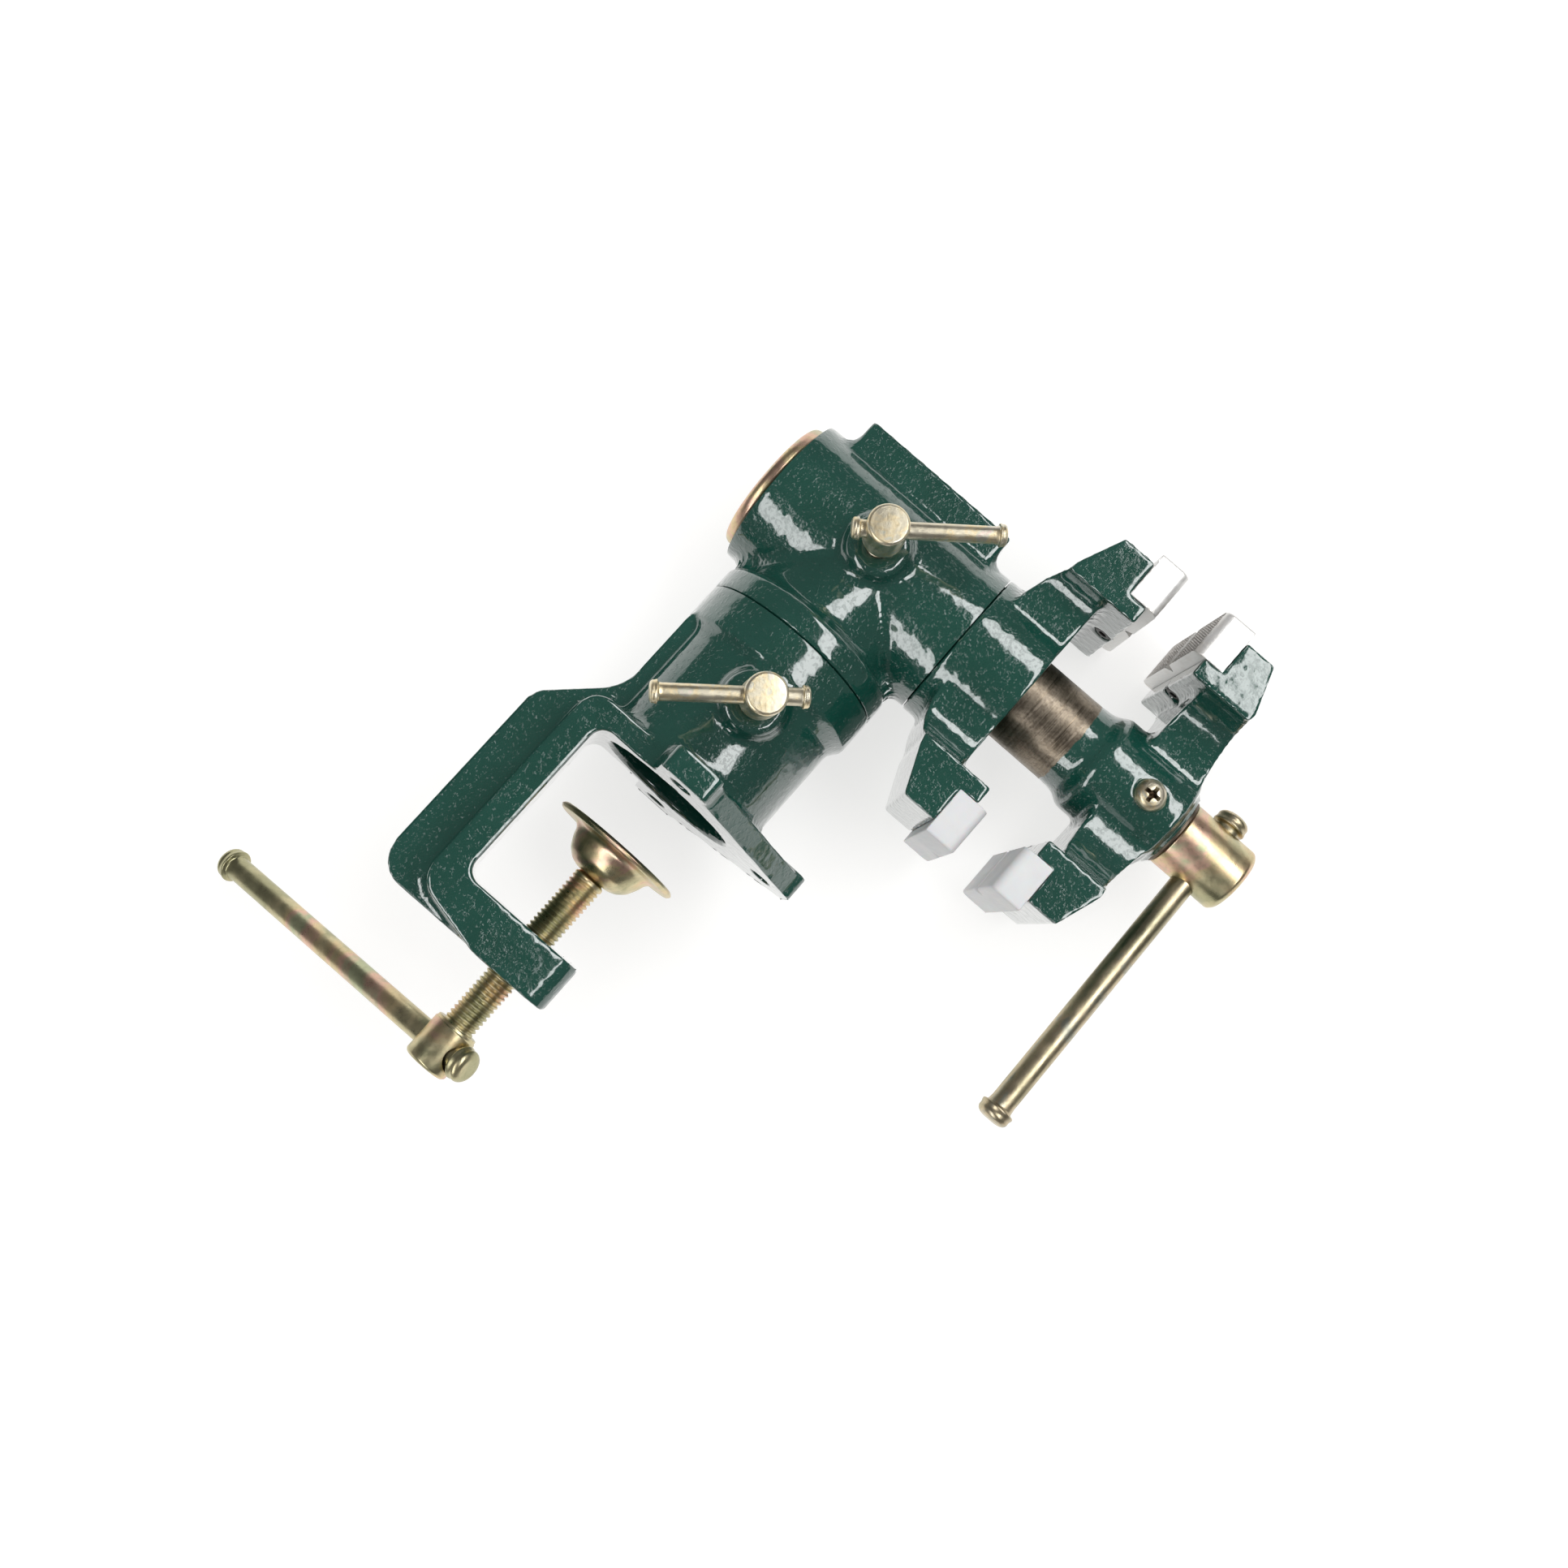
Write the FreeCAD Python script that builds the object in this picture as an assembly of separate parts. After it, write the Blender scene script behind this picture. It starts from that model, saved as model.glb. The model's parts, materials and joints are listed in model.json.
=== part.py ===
import FreeCAD, Part
import math
import os
from FreeCAD import Vector

# Clamp-on bench vise with a swivelling elbow and a rolling two-sided jaw head.
#
# Frame: +Z up along the swivel axis, +X from the clamp's spine towards the front lug,
# origin on the swivel axis in the plane of the clamp seat (the underside of the flange).
# The elbow and the jaw head are drawn with the barrel along +X, then stored a little swivelled
# and rolled, as HEAD_SWIVEL and HEAD_ROLL say.
# Every length is in millimetres.
#
# The base casting is a C-clamp with a socket on top. The elbow casting stands in the socket
# and turns about Z. Its sleeve holds the tubular spigot of the fixed jaw, so the whole jaw
# head rolls about the barrel axis. The moving jaw slides in the spigot, driven by the lead
# screw that turns in a nut fixed inside it.

# ------------------------------------------------------------------ driving dimensions
JAW_WIDTH = 60.0
BARREL_Z = 91.0             # height of the barrel axis above the clamp seat
JAW_OPENING = 13.8          # gap between the jaw faces as stored
HEAD_SWIVEL = -7.0          # how far the elbow is turned in the base as stored, degrees
HEAD_ROLL = 4.0             # how far the jaw head is rolled about the barrel axis as stored, degrees

# Fits
RUNNING_GAP = 0.08          # radial gap of a shaft that turns or slides
SEAM_GAP = 0.2              # gap between two castings that turn on each other
SCREW_GAP = 0.1             # radial gap of a fixed screw in its hole

# Base casting
SEAT_X = -27.0              # inner face of the clamp's spine
SPINE_T = 8.5
THROAT = 54.5               # clamp seat to the top of the lower arm
ARM_T = 15.0                # thickness of the arm at the screw
ARM_END_X = 14.0
FRAME_HALF = 24.0           # half width of the C-frame's inner flange
RIB_HALF = 9.0              # half thickness of the rib behind it
RIB_X = -47.7               # outer edge of the rib
FLANGE_T = 7.0
LUG_T = 8.0
LUG_HALF = 8.2
LUG_REACH = 46.5            # swivel axis to the tip of each lug
BOLT_REACH = 36.5           # swivel axis to each bolt hole
BOLT_R = 3.5
SOCKET_R = 27.5
SOCKET_BORE_R = 22.0
COLLAR_R = 30.2
COLLAR_TOP = 54.3

# Clamp screw, pad and both large T-bars
CLAMP_SCREW_R = 5.0
CLAMP_HEAD_R = 7.0
CLAMP_HEAD_H = 14.0
CLAMP_BAR_Z = -95.4
CLAMP_BAR_TURN = -34.5      # direction of the bar's short end about Z, degrees
CLAMP_BAR_DROOP = 3.0       # the bar's long end hangs this much lower in its loose hole, degrees
CLAMP_HOLE_R = 4.3
PAD_TOP = -20.8
PAD_R = 20.7
PAD_T = 2.0
DOME_BOTTOM = -32.5
BAR_R = 3.8
BAR_LENGTH = 116.0
BAR_KNOB_R = 5.3
BAR_KNOB_L = 4.8

# Elbow casting
ELBOW_COLLAR_TOP = 63.5
SLEEVE_R = 24.6
SLEEVE_BORE_R = 20.1
SLEEVE_BACK_X = -35.0
SLEEVE_FRONT_X = 34.3
ANVIL_HALF_X = 26.6
ANVIL_HALF_Y = 15.5
ANVIL_TOP = 121.5

# The two lock screws and their bars
LOCK_Z = 32.0               # height of the lower lock screw
BARREL_LOCK_Z = 90.0        # height of the upper one, a little below the barrel axis
LOCK_FACE_Y = -52.0         # outer face of the lower lock screw
BARREL_LOCK_FACE_Y = -47.5
LOCK_HEAD_R = 6.0
LOCK_HEAD_L = 13.0
LOCK_R = 4.0
LOCK_BAR_IN = 5.5           # the bar's axis lies this far in from the face
LOCK_BAR_R = 2.5
LOCK_BAR_LENGTH = 43.0
LOCK_KNOB_R = 3.3
LOCK_KNOB_L = 3.2
LOCK_TIP_R = 2.8

# Jaw head; heights are measured from the barrel axis
BODY_R = 24.8
BODY_BACK_X = 34.5
BODY_FRONT_X = 58.8
SLIDE_BORE_R = 14.3
FACE_X = 72.4               # face of the fixed jaw
PLATE_T = 10.2              # thickness of a jaw plate
PLATE_LOW = 36.7
PLATE_HIGH = 51.8
JAW_LOW = 31.0
JAW_HIGH = 48.2
LEDGE_BACK = 3.8            # how far each ledge stops behind its jaw face
NUT_X0 = 14.0
NUT_X1 = 30.0
NUT_R = 8.2
KEY_HALF = 3.8              # half width of the nut's neck, which also keys the slide
DISC_R = 21.5
DISC_T = 4.0

# Moving jaw and lead screw
SLIDE_R = 14.2
SLIDE_BACK_X = -18.0
SLIDE_BORE_BACK_R = 8.8
SLOT_END_X = 79.5
NECK_X0 = 79.0              # painted part of the slide, next to the hub
HUB_X0 = 87.0
HUB_X1 = 115.6
HUB_END_X = 118.6
HUB_R = 17.0
MOVING_ARM_X = 96.0
LEAD_R = 6.0
LEAD_BACK_X = -19.0
LEAD_HEAD_R = 10.8
LEAD_HEAD_X0 = 119.8
LEAD_HEAD_X1 = 142.8
RETAINER_X = 105.0          # screw that holds the lead screw in the hub

AXIS_X = Vector(1, 0, 0)
AXIS_Y = Vector(0, 1, 0)
AXIS_Z = Vector(0, 0, 1)
BARREL = Vector(0, 0, BARREL_Z)


# ------------------------------------------------------------------ shared geometry
def cylinder(radius, start, end):
    """A solid cylinder from one point to another."""
    along = end.sub(start)
    return Part.makeCylinder(radius, along.Length, start, along)


def block(x0, x1, y0, y1, z0, z1):
    return Part.makeBox(x1 - x0, y1 - y0, z1 - z0, Vector(x0, y0, z0))


def turned(profile, origin, axis):
    """A turned solid: profile is a list of (distance along the axis, radius)."""
    side = AXIS_Y if abs(axis.z) > 0.5 else AXIS_Z
    points = [origin + axis * along + side * radius for along, radius in profile]
    face = Part.Face(Part.makePolygon(points + points[:1]))
    return face.revolve(origin, axis, 360)


def outline(corners, place):
    """A closed face from (u, v, radius) corners, each rounded by its radius.

    place turns (u, v) into a point in space.
    """
    flat = [Vector(u, v, 0) for u, v, radius in corners]
    edges = []
    first = None
    last = None
    for i, (u, v, radius) in enumerate(corners):
        here = flat[i]
        back = (flat[i - 1] - here).normalize()
        ahead = (flat[(i + 1) % len(flat)] - here).normalize()
        if radius > 0:
            half = back.getAngle(ahead) / 2
            run = radius / math.tan(half)
            middle = (back + ahead).normalize()
            start = here + back * run
            end = here + ahead * run
            top = here + middle * (radius / math.sin(half) - radius)
            arc = Part.Arc(place(start.x, start.y), place(top.x, top.y), place(end.x, end.y))
        else:
            start = here
            end = here
            arc = None
        if last is not None:
            edges.append(Part.makeLine(place(last.x, last.y), place(start.x, start.y)))
        else:
            first = start
        if arc is not None:
            edges.append(arc.toShape())
        last = end
    edges.append(Part.makeLine(place(last.x, last.y), place(first.x, first.y)))
    return Part.Face(Part.Wire(edges))


def side_plate(corners, half_width):
    """A plate with its outline in XZ, centred on Y = 0."""
    face = outline(corners, lambda u, v: Vector(u, -half_width, v))
    return face.extrude(AXIS_Y * (2 * half_width))


def plan_plate(corners, z0, z1):
    """A plate with its outline in XY."""
    face = outline(corners, lambda u, v: Vector(u, v, z0))
    return face.extrude(AXIS_Z * (z1 - z0))


def rounded(shape, radius, chosen):
    """Rounds the edges whose middle point passes the test."""
    edges = [edge for edge in shape.Edges if chosen(edge)]
    return shape.makeFillet(radius, edges)


def swivel(shape):
    """Turns a piece above the base to its stored angle about the swivel axis."""
    turned_shape = shape.copy()
    turned_shape.rotate(Vector(0, 0, 0), AXIS_Z, HEAD_SWIVEL)
    return turned_shape


def roll(shape):
    """Turns a piece of the jaw head to the stored roll angle about the barrel axis."""
    turned_shape = shape.copy()
    turned_shape.rotate(BARREL, AXIS_X, HEAD_ROLL)
    return turned_shape


def knobbed_bar(length, radius, knob_radius, knob_length):
    """A round bar along X, centred on the origin, with an upset knob at each end."""
    half = length / 2
    lip = knob_length * 0.18
    crown = knob_length * 0.55
    profile = [
        (-half, 0), (-half, knob_radius * 0.86), (-half + lip, knob_radius),
        (-half + crown, knob_radius * 0.97), (-half + knob_length, radius),
        (half - knob_length, radius), (half - crown, knob_radius * 0.97),
        (half - lip, knob_radius), (half, knob_radius * 0.86), (half, 0),
    ]
    return turned(profile, Vector(0, 0, 0), AXIS_X)


# ------------------------------------------------------------------ base
def lock_boss(surface_y, base_y, z):
    """The round boss that a lock screw passes through, facing -Y."""
    foot_r = 10.0
    top_r = 7.8
    profile = [
        (base_y, 0), (base_y, foot_r), (surface_y - 3.0, foot_r),
        (surface_y - 1.0, foot_r - 0.7), (surface_y, top_r), (surface_y, 0),
    ]
    return turned(profile, Vector(0, 0, z), AXIS_Y * -1)


def base_casting():
    arm_low = -THROAT - ARM_T
    spine_back = SEAT_X - SPINE_T
    arm_slope_x = -11.0
    corner_low = arm_low + 5.5

    c_frame = side_plate([
        (-6, 0, 0), (SEAT_X, 0, 4), (SEAT_X, -THROAT, 4),
        (ARM_END_X, -THROAT, 1), (ARM_END_X, arm_low, 1.5), (arm_slope_x, arm_low, 8),
        (spine_back, corner_low, 8), (spine_back, FLANGE_T, 7), (-6, FLANGE_T, 0),
    ], FRAME_HALF)
    end_round = plan_plate([
        (-60, -FRAME_HALF - 1, 0), (-18, -FRAME_HALF - 1, 0), (-14, -FRAME_HALF, 8),
        (ARM_END_X, -FRAME_HALF + 4, 7), (ARM_END_X, FRAME_HALF - 4, 7),
        (-14, FRAME_HALF, 8), (-18, FRAME_HALF + 1, 0), (-60, FRAME_HALF + 1, 0),
    ], arm_low - 1, FLANGE_T + 1)
    c_frame = c_frame.common(end_round)

    gusset_x = -COLLAR_R + 0.4
    knee_z = 14.0
    rib = side_plate([
        (-15, 43, 0), (gusset_x, 43, 0), (gusset_x, knee_z, 16),
        (RIB_X, knee_z + RIB_X - gusset_x, 7), (RIB_X, arm_low, 9), (arm_slope_x, arm_low, 0),
        (arm_slope_x, arm_low + 6, 0), (spine_back + 3, arm_low + 12, 0),
        (spine_back + 3, 3, 0), (-15, 3, 0),
    ], RIB_HALF)

    web = LUG_REACH - 5.5
    plate = plan_plate([
        (SEAT_X, -FRAME_HALF, 0), (-LUG_HALF, -FRAME_HALF, 0), (-LUG_HALF, -web, 2),
        (LUG_HALF + 1, -web, 3), (web + 3, -LUG_HALF, 3), (web + 3, LUG_HALF, 3),
        (LUG_HALF + 1, web, 3), (-LUG_HALF, web, 2), (-LUG_HALF, FRAME_HALF, 0),
        (SEAT_X, FRAME_HALF, 0),
    ], 0, FLANGE_T)
    lug = plan_plate([
        (SOCKET_BORE_R + 2, -LUG_HALF, 0), (LUG_REACH, -LUG_HALF, 3),
        (LUG_REACH, LUG_HALF, 3), (SOCKET_BORE_R + 2, LUG_HALF, 0),
    ], 0, LUG_T)

    socket = turned([
        (0, 0), (0, SOCKET_R), (40.0, SOCKET_R), (43.2, COLLAR_R),
        (COLLAR_TOP - 0.5, COLLAR_R), (COLLAR_TOP, COLLAR_R - 0.5), (COLLAR_TOP, 0),
    ], Vector(0, 0, 0), AXIS_Z)
    boss_y = SOCKET_R + 3.5
    boss = lock_boss(boss_y, SOCKET_BORE_R + 1, LOCK_Z)

    solid = c_frame.fuse([rib, plate, socket, boss])
    for quarter in (-90, 0, 90):
        one = lug.copy()
        one.rotate(Vector(0, 0, 0), AXIS_Z, quarter)
        solid = solid.fuse(one)

    bore = turned([
        (-1, 0), (-1, SOCKET_BORE_R + 1.6), (0.6, SOCKET_BORE_R), (COLLAR_TOP - 0.5, SOCKET_BORE_R),
        (COLLAR_TOP + 1, SOCKET_BORE_R + 1.5), (COLLAR_TOP + 1, 0),
    ], Vector(0, 0, 0), AXIS_Z)
    solid = solid.cut(bore)
    for x, y in ((0, -BOLT_REACH), (BOLT_REACH, 0), (0, BOLT_REACH)):
        solid = solid.cut(cylinder(BOLT_R, Vector(x, y, -1), Vector(x, y, LUG_T + 1)))
    lock_hole = cylinder(
        LOCK_R + RUNNING_GAP, Vector(0, -boss_y - 1, LOCK_Z), Vector(0, -SOCKET_BORE_R + 2, LOCK_Z))
    clamp_hole = cylinder(
        CLAMP_SCREW_R + RUNNING_GAP, Vector(0, 0, arm_low - 1), Vector(0, 0, -THROAT + 1))
    return solid.cut(lock_hole).cut(clamp_hole).removeSplitter()


# ------------------------------------------------------------------ clamp screw group
def clamp_pad():
    """Pressed dish: a flat rim with a bowl below it, held on the screw's upset end."""
    rim_low = PAD_TOP - PAD_T
    hole_r = 4.2
    profile = [
        (PAD_TOP, PAD_R - 0.6), (PAD_TOP, 12.6), (-25.5, 10.4), (-29.0, 8.0), (-30.7, hole_r),
        (DOME_BOTTOM, hole_r), (DOME_BOTTOM, 6.4), (-31.2, 9.2), (-27.6, 11.8), (-24.6, 13.2),
        (rim_low, 15.6), (rim_low, PAD_R - 0.5), (rim_low + 0.6, PAD_R), (PAD_TOP - 0.6, PAD_R),
    ]
    return turned(profile, Vector(0, 0, 0), AXIS_Z)


def clamp_screw():
    """Threaded rod with a cross-drilled head below and an upset end that carries the pad."""
    neck_r = 4.0
    head_top = CLAMP_BAR_Z + CLAMP_HEAD_H / 2
    head_low = CLAMP_BAR_Z - CLAMP_HEAD_H / 2
    profile = [
        (head_low, 0), (head_low, CLAMP_HEAD_R - 0.8), (head_low + 0.8, CLAMP_HEAD_R),
        (head_top - 0.6, CLAMP_HEAD_R), (head_top, CLAMP_HEAD_R - 0.6), (head_top, CLAMP_SCREW_R),
        (DOME_BOTTOM - 0.9, CLAMP_SCREW_R), (DOME_BOTTOM - 0.1, neck_r), (-30.5, neck_r),
        (-28.8, 6.0), (-26.6, 6.0), (-25.2, 4.2), (-25.2, 0),
    ]
    screw = turned(profile, Vector(0, 0, 0), AXIS_Z)
    reach = CLAMP_HEAD_R + 1
    hole = cylinder(CLAMP_HOLE_R, Vector(-reach, 0, CLAMP_BAR_Z), Vector(reach, 0, CLAMP_BAR_Z))
    hole.rotate(Vector(0, 0, 0), AXIS_Z, CLAMP_BAR_TURN)
    return screw.cut(hole)


def clamp_bar():
    """Slid to its stop, with the short end towards +X."""
    bar = knobbed_bar(BAR_LENGTH, BAR_R, BAR_KNOB_R, BAR_KNOB_L)
    short_end = CLAMP_HEAD_R + BAR_KNOB_L + 0.3
    bar.translate(Vector(short_end - BAR_LENGTH / 2, 0, CLAMP_BAR_Z))
    bar.rotate(Vector(0, 0, CLAMP_BAR_Z), AXIS_Y, -CLAMP_BAR_DROOP)
    bar.rotate(Vector(0, 0, 0), AXIS_Z, CLAMP_BAR_TURN)
    return bar


# ------------------------------------------------------------------ lock screws
def lock_screw(z, face_y, tip_y):
    head_low = face_y + LOCK_HEAD_L
    profile = [
        (face_y, 0), (face_y, LOCK_HEAD_R - 0.6), (face_y + 0.6, LOCK_HEAD_R),
        (head_low - 0.4, LOCK_HEAD_R), (head_low, LOCK_HEAD_R - 0.4), (head_low, LOCK_R),
        (tip_y - 4.0, LOCK_R), (tip_y - 3.0, LOCK_TIP_R), (tip_y, LOCK_TIP_R), (tip_y, 0),
    ]
    return turned(profile, Vector(0, 0, z), AXIS_Y)


def lock_pair(z, face_y, tip_y, angle, long_side):
    """A lock screw and the bar through its head.

    angle is the direction of the bar's long end from +X towards +Z, in degrees, and
    long_side is the distance from the screw's axis to that end.
    """
    screw = lock_screw(z, face_y, tip_y)
    centre = Vector(0, face_y + LOCK_BAR_IN, z)
    reach = AXIS_X * (LOCK_HEAD_R + 1)
    hole = cylinder(LOCK_BAR_R + RUNNING_GAP, centre - reach, centre + reach)
    hole.rotate(centre, AXIS_Y, -angle)
    bar = knobbed_bar(LOCK_BAR_LENGTH, LOCK_BAR_R, LOCK_KNOB_R, LOCK_KNOB_L)
    bar.translate(centre + AXIS_X * (long_side - LOCK_BAR_LENGTH / 2))
    bar.rotate(centre, AXIS_Y, -angle)
    return screw.cut(hole), bar


# ------------------------------------------------------------------ elbow
def elbow_casting():
    stem_r = SOCKET_BORE_R - RUNNING_GAP
    groove_r = 19.6
    groove_half = LOCK_TIP_R + 0.5
    seam = COLLAR_TOP + SEAM_GAP
    outside = turned([
        (13.0, 0), (13.0, stem_r - 1), (14.0, stem_r), (LOCK_Z - groove_half - 2.2, stem_r),
        (LOCK_Z - groove_half, groove_r), (LOCK_Z + groove_half, groove_r),
        (LOCK_Z + groove_half + 2.2, stem_r), (seam, stem_r), (seam, COLLAR_R - 0.5),
        (seam + 0.5, COLLAR_R), (ELBOW_COLLAR_TOP - 2.2, COLLAR_R),
        (ELBOW_COLLAR_TOP - 0.6, COLLAR_R - 1.1), (ELBOW_COLLAR_TOP, 26.6),
        (66.0, 25.4), (74.0, 24.4), (84.0, 24.2), (84.0, 0),
    ], Vector(0, 0, 0), AXIS_Z)
    sleeve = turned([
        (SLEEVE_BACK_X, 0), (SLEEVE_BACK_X, SLEEVE_R - 0.8), (SLEEVE_BACK_X + 0.8, SLEEVE_R),
        (SLEEVE_FRONT_X - 0.4, SLEEVE_R), (SLEEVE_FRONT_X, SLEEVE_R - 0.4), (SLEEVE_FRONT_X, 0),
    ], BARREL, AXIS_X)
    anvil = plan_plate([
        (-ANVIL_HALF_X, -ANVIL_HALF_Y, 1.5), (ANVIL_HALF_X, -ANVIL_HALF_Y, 1.5),
        (ANVIL_HALF_X, ANVIL_HALF_Y, 1.5), (-ANVIL_HALF_X, ANVIL_HALF_Y, 1.5),
    ], BARREL_Z + 16, ANVIL_TOP)
    anvil_ramp = side_plate([
        (-ANVIL_HALF_X - 1.5, BARREL_Z + 21, 0), (ANVIL_HALF_X + 1.5, BARREL_Z + 21, 0),
        (ANVIL_HALF_X - 0.5, ANVIL_TOP - 3.5, 0), (-ANVIL_HALF_X + 0.5, ANVIL_TOP - 3.5, 0),
    ], ANVIL_HALF_Y - 2)
    boss_y = SLEEVE_R + 3.9
    boss = lock_boss(boss_y, SLEEVE_BORE_R + 1, BARREL_LOCK_Z)
    solid = outside.fuse([sleeve, anvil, anvil_ramp, boss])

    core = turned([(12, 0), (12, 15.0), (58.0, 15.0), (63.0, 9.0), (63.0, 0)], Vector(0, 0, 0), AXIS_Z)
    bore = turned([
        (SLEEVE_BACK_X - 1, 0), (SLEEVE_BACK_X - 1, SLEEVE_BORE_R + 1),
        (SLEEVE_BACK_X + 0.5, SLEEVE_BORE_R), (SLEEVE_FRONT_X - 0.5, SLEEVE_BORE_R),
        (SLEEVE_FRONT_X + 1, SLEEVE_BORE_R + 1), (SLEEVE_FRONT_X + 1, 0),
    ], BARREL, AXIS_X)
    lock_hole = cylinder(LOCK_R + RUNNING_GAP, Vector(0, -boss_y - 1, BARREL_LOCK_Z),
                         Vector(0, -SLEEVE_BORE_R + 3, BARREL_LOCK_Z))
    return solid.cut([core, bore, lock_hole]).removeSplitter()


# ------------------------------------------------------------------ jaw head
def jaw_arm(x0, x1, neck_half, side):
    """The arm that carries a jaw: a neck that widens to the full jaw width.

    side is 1 for the upper arm and -1 for the lower one.
    """
    wide = JAW_WIDTH / 2
    sweep = wide - neck_half
    dip = sweep * (1 - math.sqrt(0.5))

    def place(y, z):
        return Vector(x0, y, BARREL_Z + side * z)

    low = JAW_LOW - sweep
    edges = [
        Part.makeLine(place(-neck_half, 0), place(-neck_half, low)),
        Part.Arc(place(-neck_half, low), place(-neck_half - dip, JAW_LOW - dip),
                 place(-wide, JAW_LOW)).toShape(),
        Part.makeLine(place(-wide, JAW_LOW), place(wide, JAW_LOW)),
        Part.Arc(place(wide, JAW_LOW), place(neck_half + dip, JAW_LOW - dip),
                 place(neck_half, low)).toShape(),
        Part.makeLine(place(neck_half, low), place(neck_half, 0)),
        Part.makeLine(place(neck_half, 0), place(-neck_half, 0)),
    ]
    return Part.Face(Part.Wire(edges)).extrude(AXIS_X * (x1 - x0))


def head_outline(corners, side):
    """A full-width plate whose XZ outline is given from the barrel axis, mirrored for side -1."""
    placed = [(x, BARREL_Z + side * z, radius) for x, z, radius in corners]
    return side_plate(placed, JAW_WIDTH / 2)


def plate_screw_x(face_x, facing):
    """Centre of the screw that comes up through the ledge into a jaw plate."""
    return face_x - facing * (LEDGE_BACK + 3.2)


def ledge_hole(face_x, facing, side):
    """Counterbored hole in a ledge, open towards the barrel."""
    x = plate_screw_x(face_x, facing)
    low = Vector(x, 0, BARREL_Z + side * (JAW_LOW - 1))
    seat = Vector(x, 0, BARREL_Z + side * (JAW_LOW + 3.0))
    top = Vector(x, 0, BARREL_Z + side * (PLATE_LOW + 1))
    return cylinder(3.1, low, seat).fuse(cylinder(1.5 + SCREW_GAP, low, top))


def fixed_jaw():
    plate_back = FACE_X - PLATE_T
    ledge = FACE_X - LEDGE_BACK
    body = turned([
        (BODY_BACK_X, 0), (BODY_BACK_X, BODY_R - 0.4), (BODY_BACK_X + 0.4, BODY_R),
        (BODY_FRONT_X - 0.5, BODY_R), (BODY_FRONT_X, BODY_R - 0.5), (BODY_FRONT_X, 0),
    ], BARREL, AXIS_X)
    spigot = cylinder(SLEEVE_BORE_R - RUNNING_GAP, BARREL + AXIS_X * SLEEVE_BACK_X, BARREL + AXIS_X * 40)
    solid = body.fuse(spigot)
    for side in (1, -1):
        arm = jaw_arm(36.0, BODY_FRONT_X, 20.0, side)
        arm = arm.common(head_outline([
            (38.5, 0, 0), (39.5, 20, 0), (41.6, 27, 6), (44.6, JAW_LOW + 1, 0),
            (BODY_FRONT_X, JAW_LOW + 1, 0), (BODY_FRONT_X, 0, 0),
        ], side))
        jaw = head_outline([
            (44.4, JAW_LOW, 1.5), (45.4, JAW_LOW + 3.5, 2), (51.3, JAW_HIGH, 1),
            (plate_back, JAW_HIGH, 0.4), (plate_back, PLATE_LOW, 0), (ledge, PLATE_LOW, 0.4),
            (ledge, JAW_LOW, 0.5),
        ], side)
        solid = solid.fuse([arm, jaw])
        solid = solid.cut(ledge_hole(FACE_X, 1, side))
    bore = cylinder(SLIDE_BORE_R, BARREL - AXIS_X * 60, BARREL + AXIS_X * (BODY_FRONT_X + 1))
    pocket = block(NUT_X0 - 0.1, NUT_X1 + 0.1, -KEY_HALF - 0.1, KEY_HALF + 0.1,
                   BARREL_Z + 10, BARREL_Z + 17.6)
    return solid.cut([bore, pocket, nut_screw_shape(SCREW_GAP), disc_screw_group(SCREW_GAP)]).removeSplitter()


def nut_screw_shape(gap):
    """Countersunk screw through the spigot wall into the nut's neck."""
    x = (NUT_X0 + NUT_X1) / 2
    top = 19.5
    profile = [
        (9.5, 0), (9.5, 2.0 + gap), (top - 2.2, 2.0 + gap), (top, 4.0 + gap),
        (top + gap * 10, 4.0 + gap), (top + gap * 10, 0),
    ]
    if gap == 0:
        profile = [(10.0, 0), (10.0, 2.0), (top - 2.2, 2.0), (top, 4.0), (top, 0)]
    return turned(profile, Vector(x, 0, BARREL_Z), AXIS_Z)


def lead_nut():
    """Bronze nut with a neck that passes the slide's slot and seats in the spigot wall."""
    ring = cylinder(NUT_R, BARREL + AXIS_X * NUT_X0, BARREL + AXIS_X * NUT_X1)
    neck = block(NUT_X0, NUT_X1, -KEY_HALF, KEY_HALF, BARREL_Z + 3, BARREL_Z + 17.5)
    thread = cylinder(LEAD_R + RUNNING_GAP, BARREL + AXIS_X * (NUT_X0 - 1), BARREL + AXIS_X * (NUT_X1 + 1))
    return ring.fuse(neck).cut([thread, nut_screw_shape(SCREW_GAP)]).removeSplitter()


def disc_screw_group(gap):
    """Three countersunk screws through the rear disc into the end of the spigot."""
    circle_r = 17.1
    face = SLEEVE_BACK_X - SEAM_GAP - DISC_T
    end = face + 14.0
    screws = []
    for turn in (90, 210, 330):
        profile = [
            (face - 5 * gap, 0), (face - 5 * gap, 2.4 + gap), (face + 0.2, 2.4 + gap),
            (face + 1.2, 1.4 + gap), (end + 5 * gap, 1.4 + gap), (end + 5 * gap, 0),
        ]
        screw = turned(profile, BARREL + AXIS_Z * circle_r, AXIS_X)
        screw.rotate(BARREL, AXIS_X, turn)
        screws.append(screw)
    return Part.Compound(screws)


def rear_disc():
    """Domed disc that keeps the spigot in the sleeve."""
    front = SLEEVE_BACK_X - SEAM_GAP
    back = front - DISC_T
    spacer_r = SLEEVE_BORE_R - 0.4
    disc = turned([
        (SLEEVE_BACK_X, 0), (SLEEVE_BACK_X, spacer_r), (front, spacer_r), (front, DISC_R - 0.6),
        (front - 0.6, DISC_R), (back + 1.7, DISC_R), (back + 0.6, DISC_R - 0.5), (back, DISC_R - 1.7), (back, 0),
    ], BARREL, AXIS_X)
    return disc.cut(disc_screw_group(SCREW_GAP))


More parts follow.
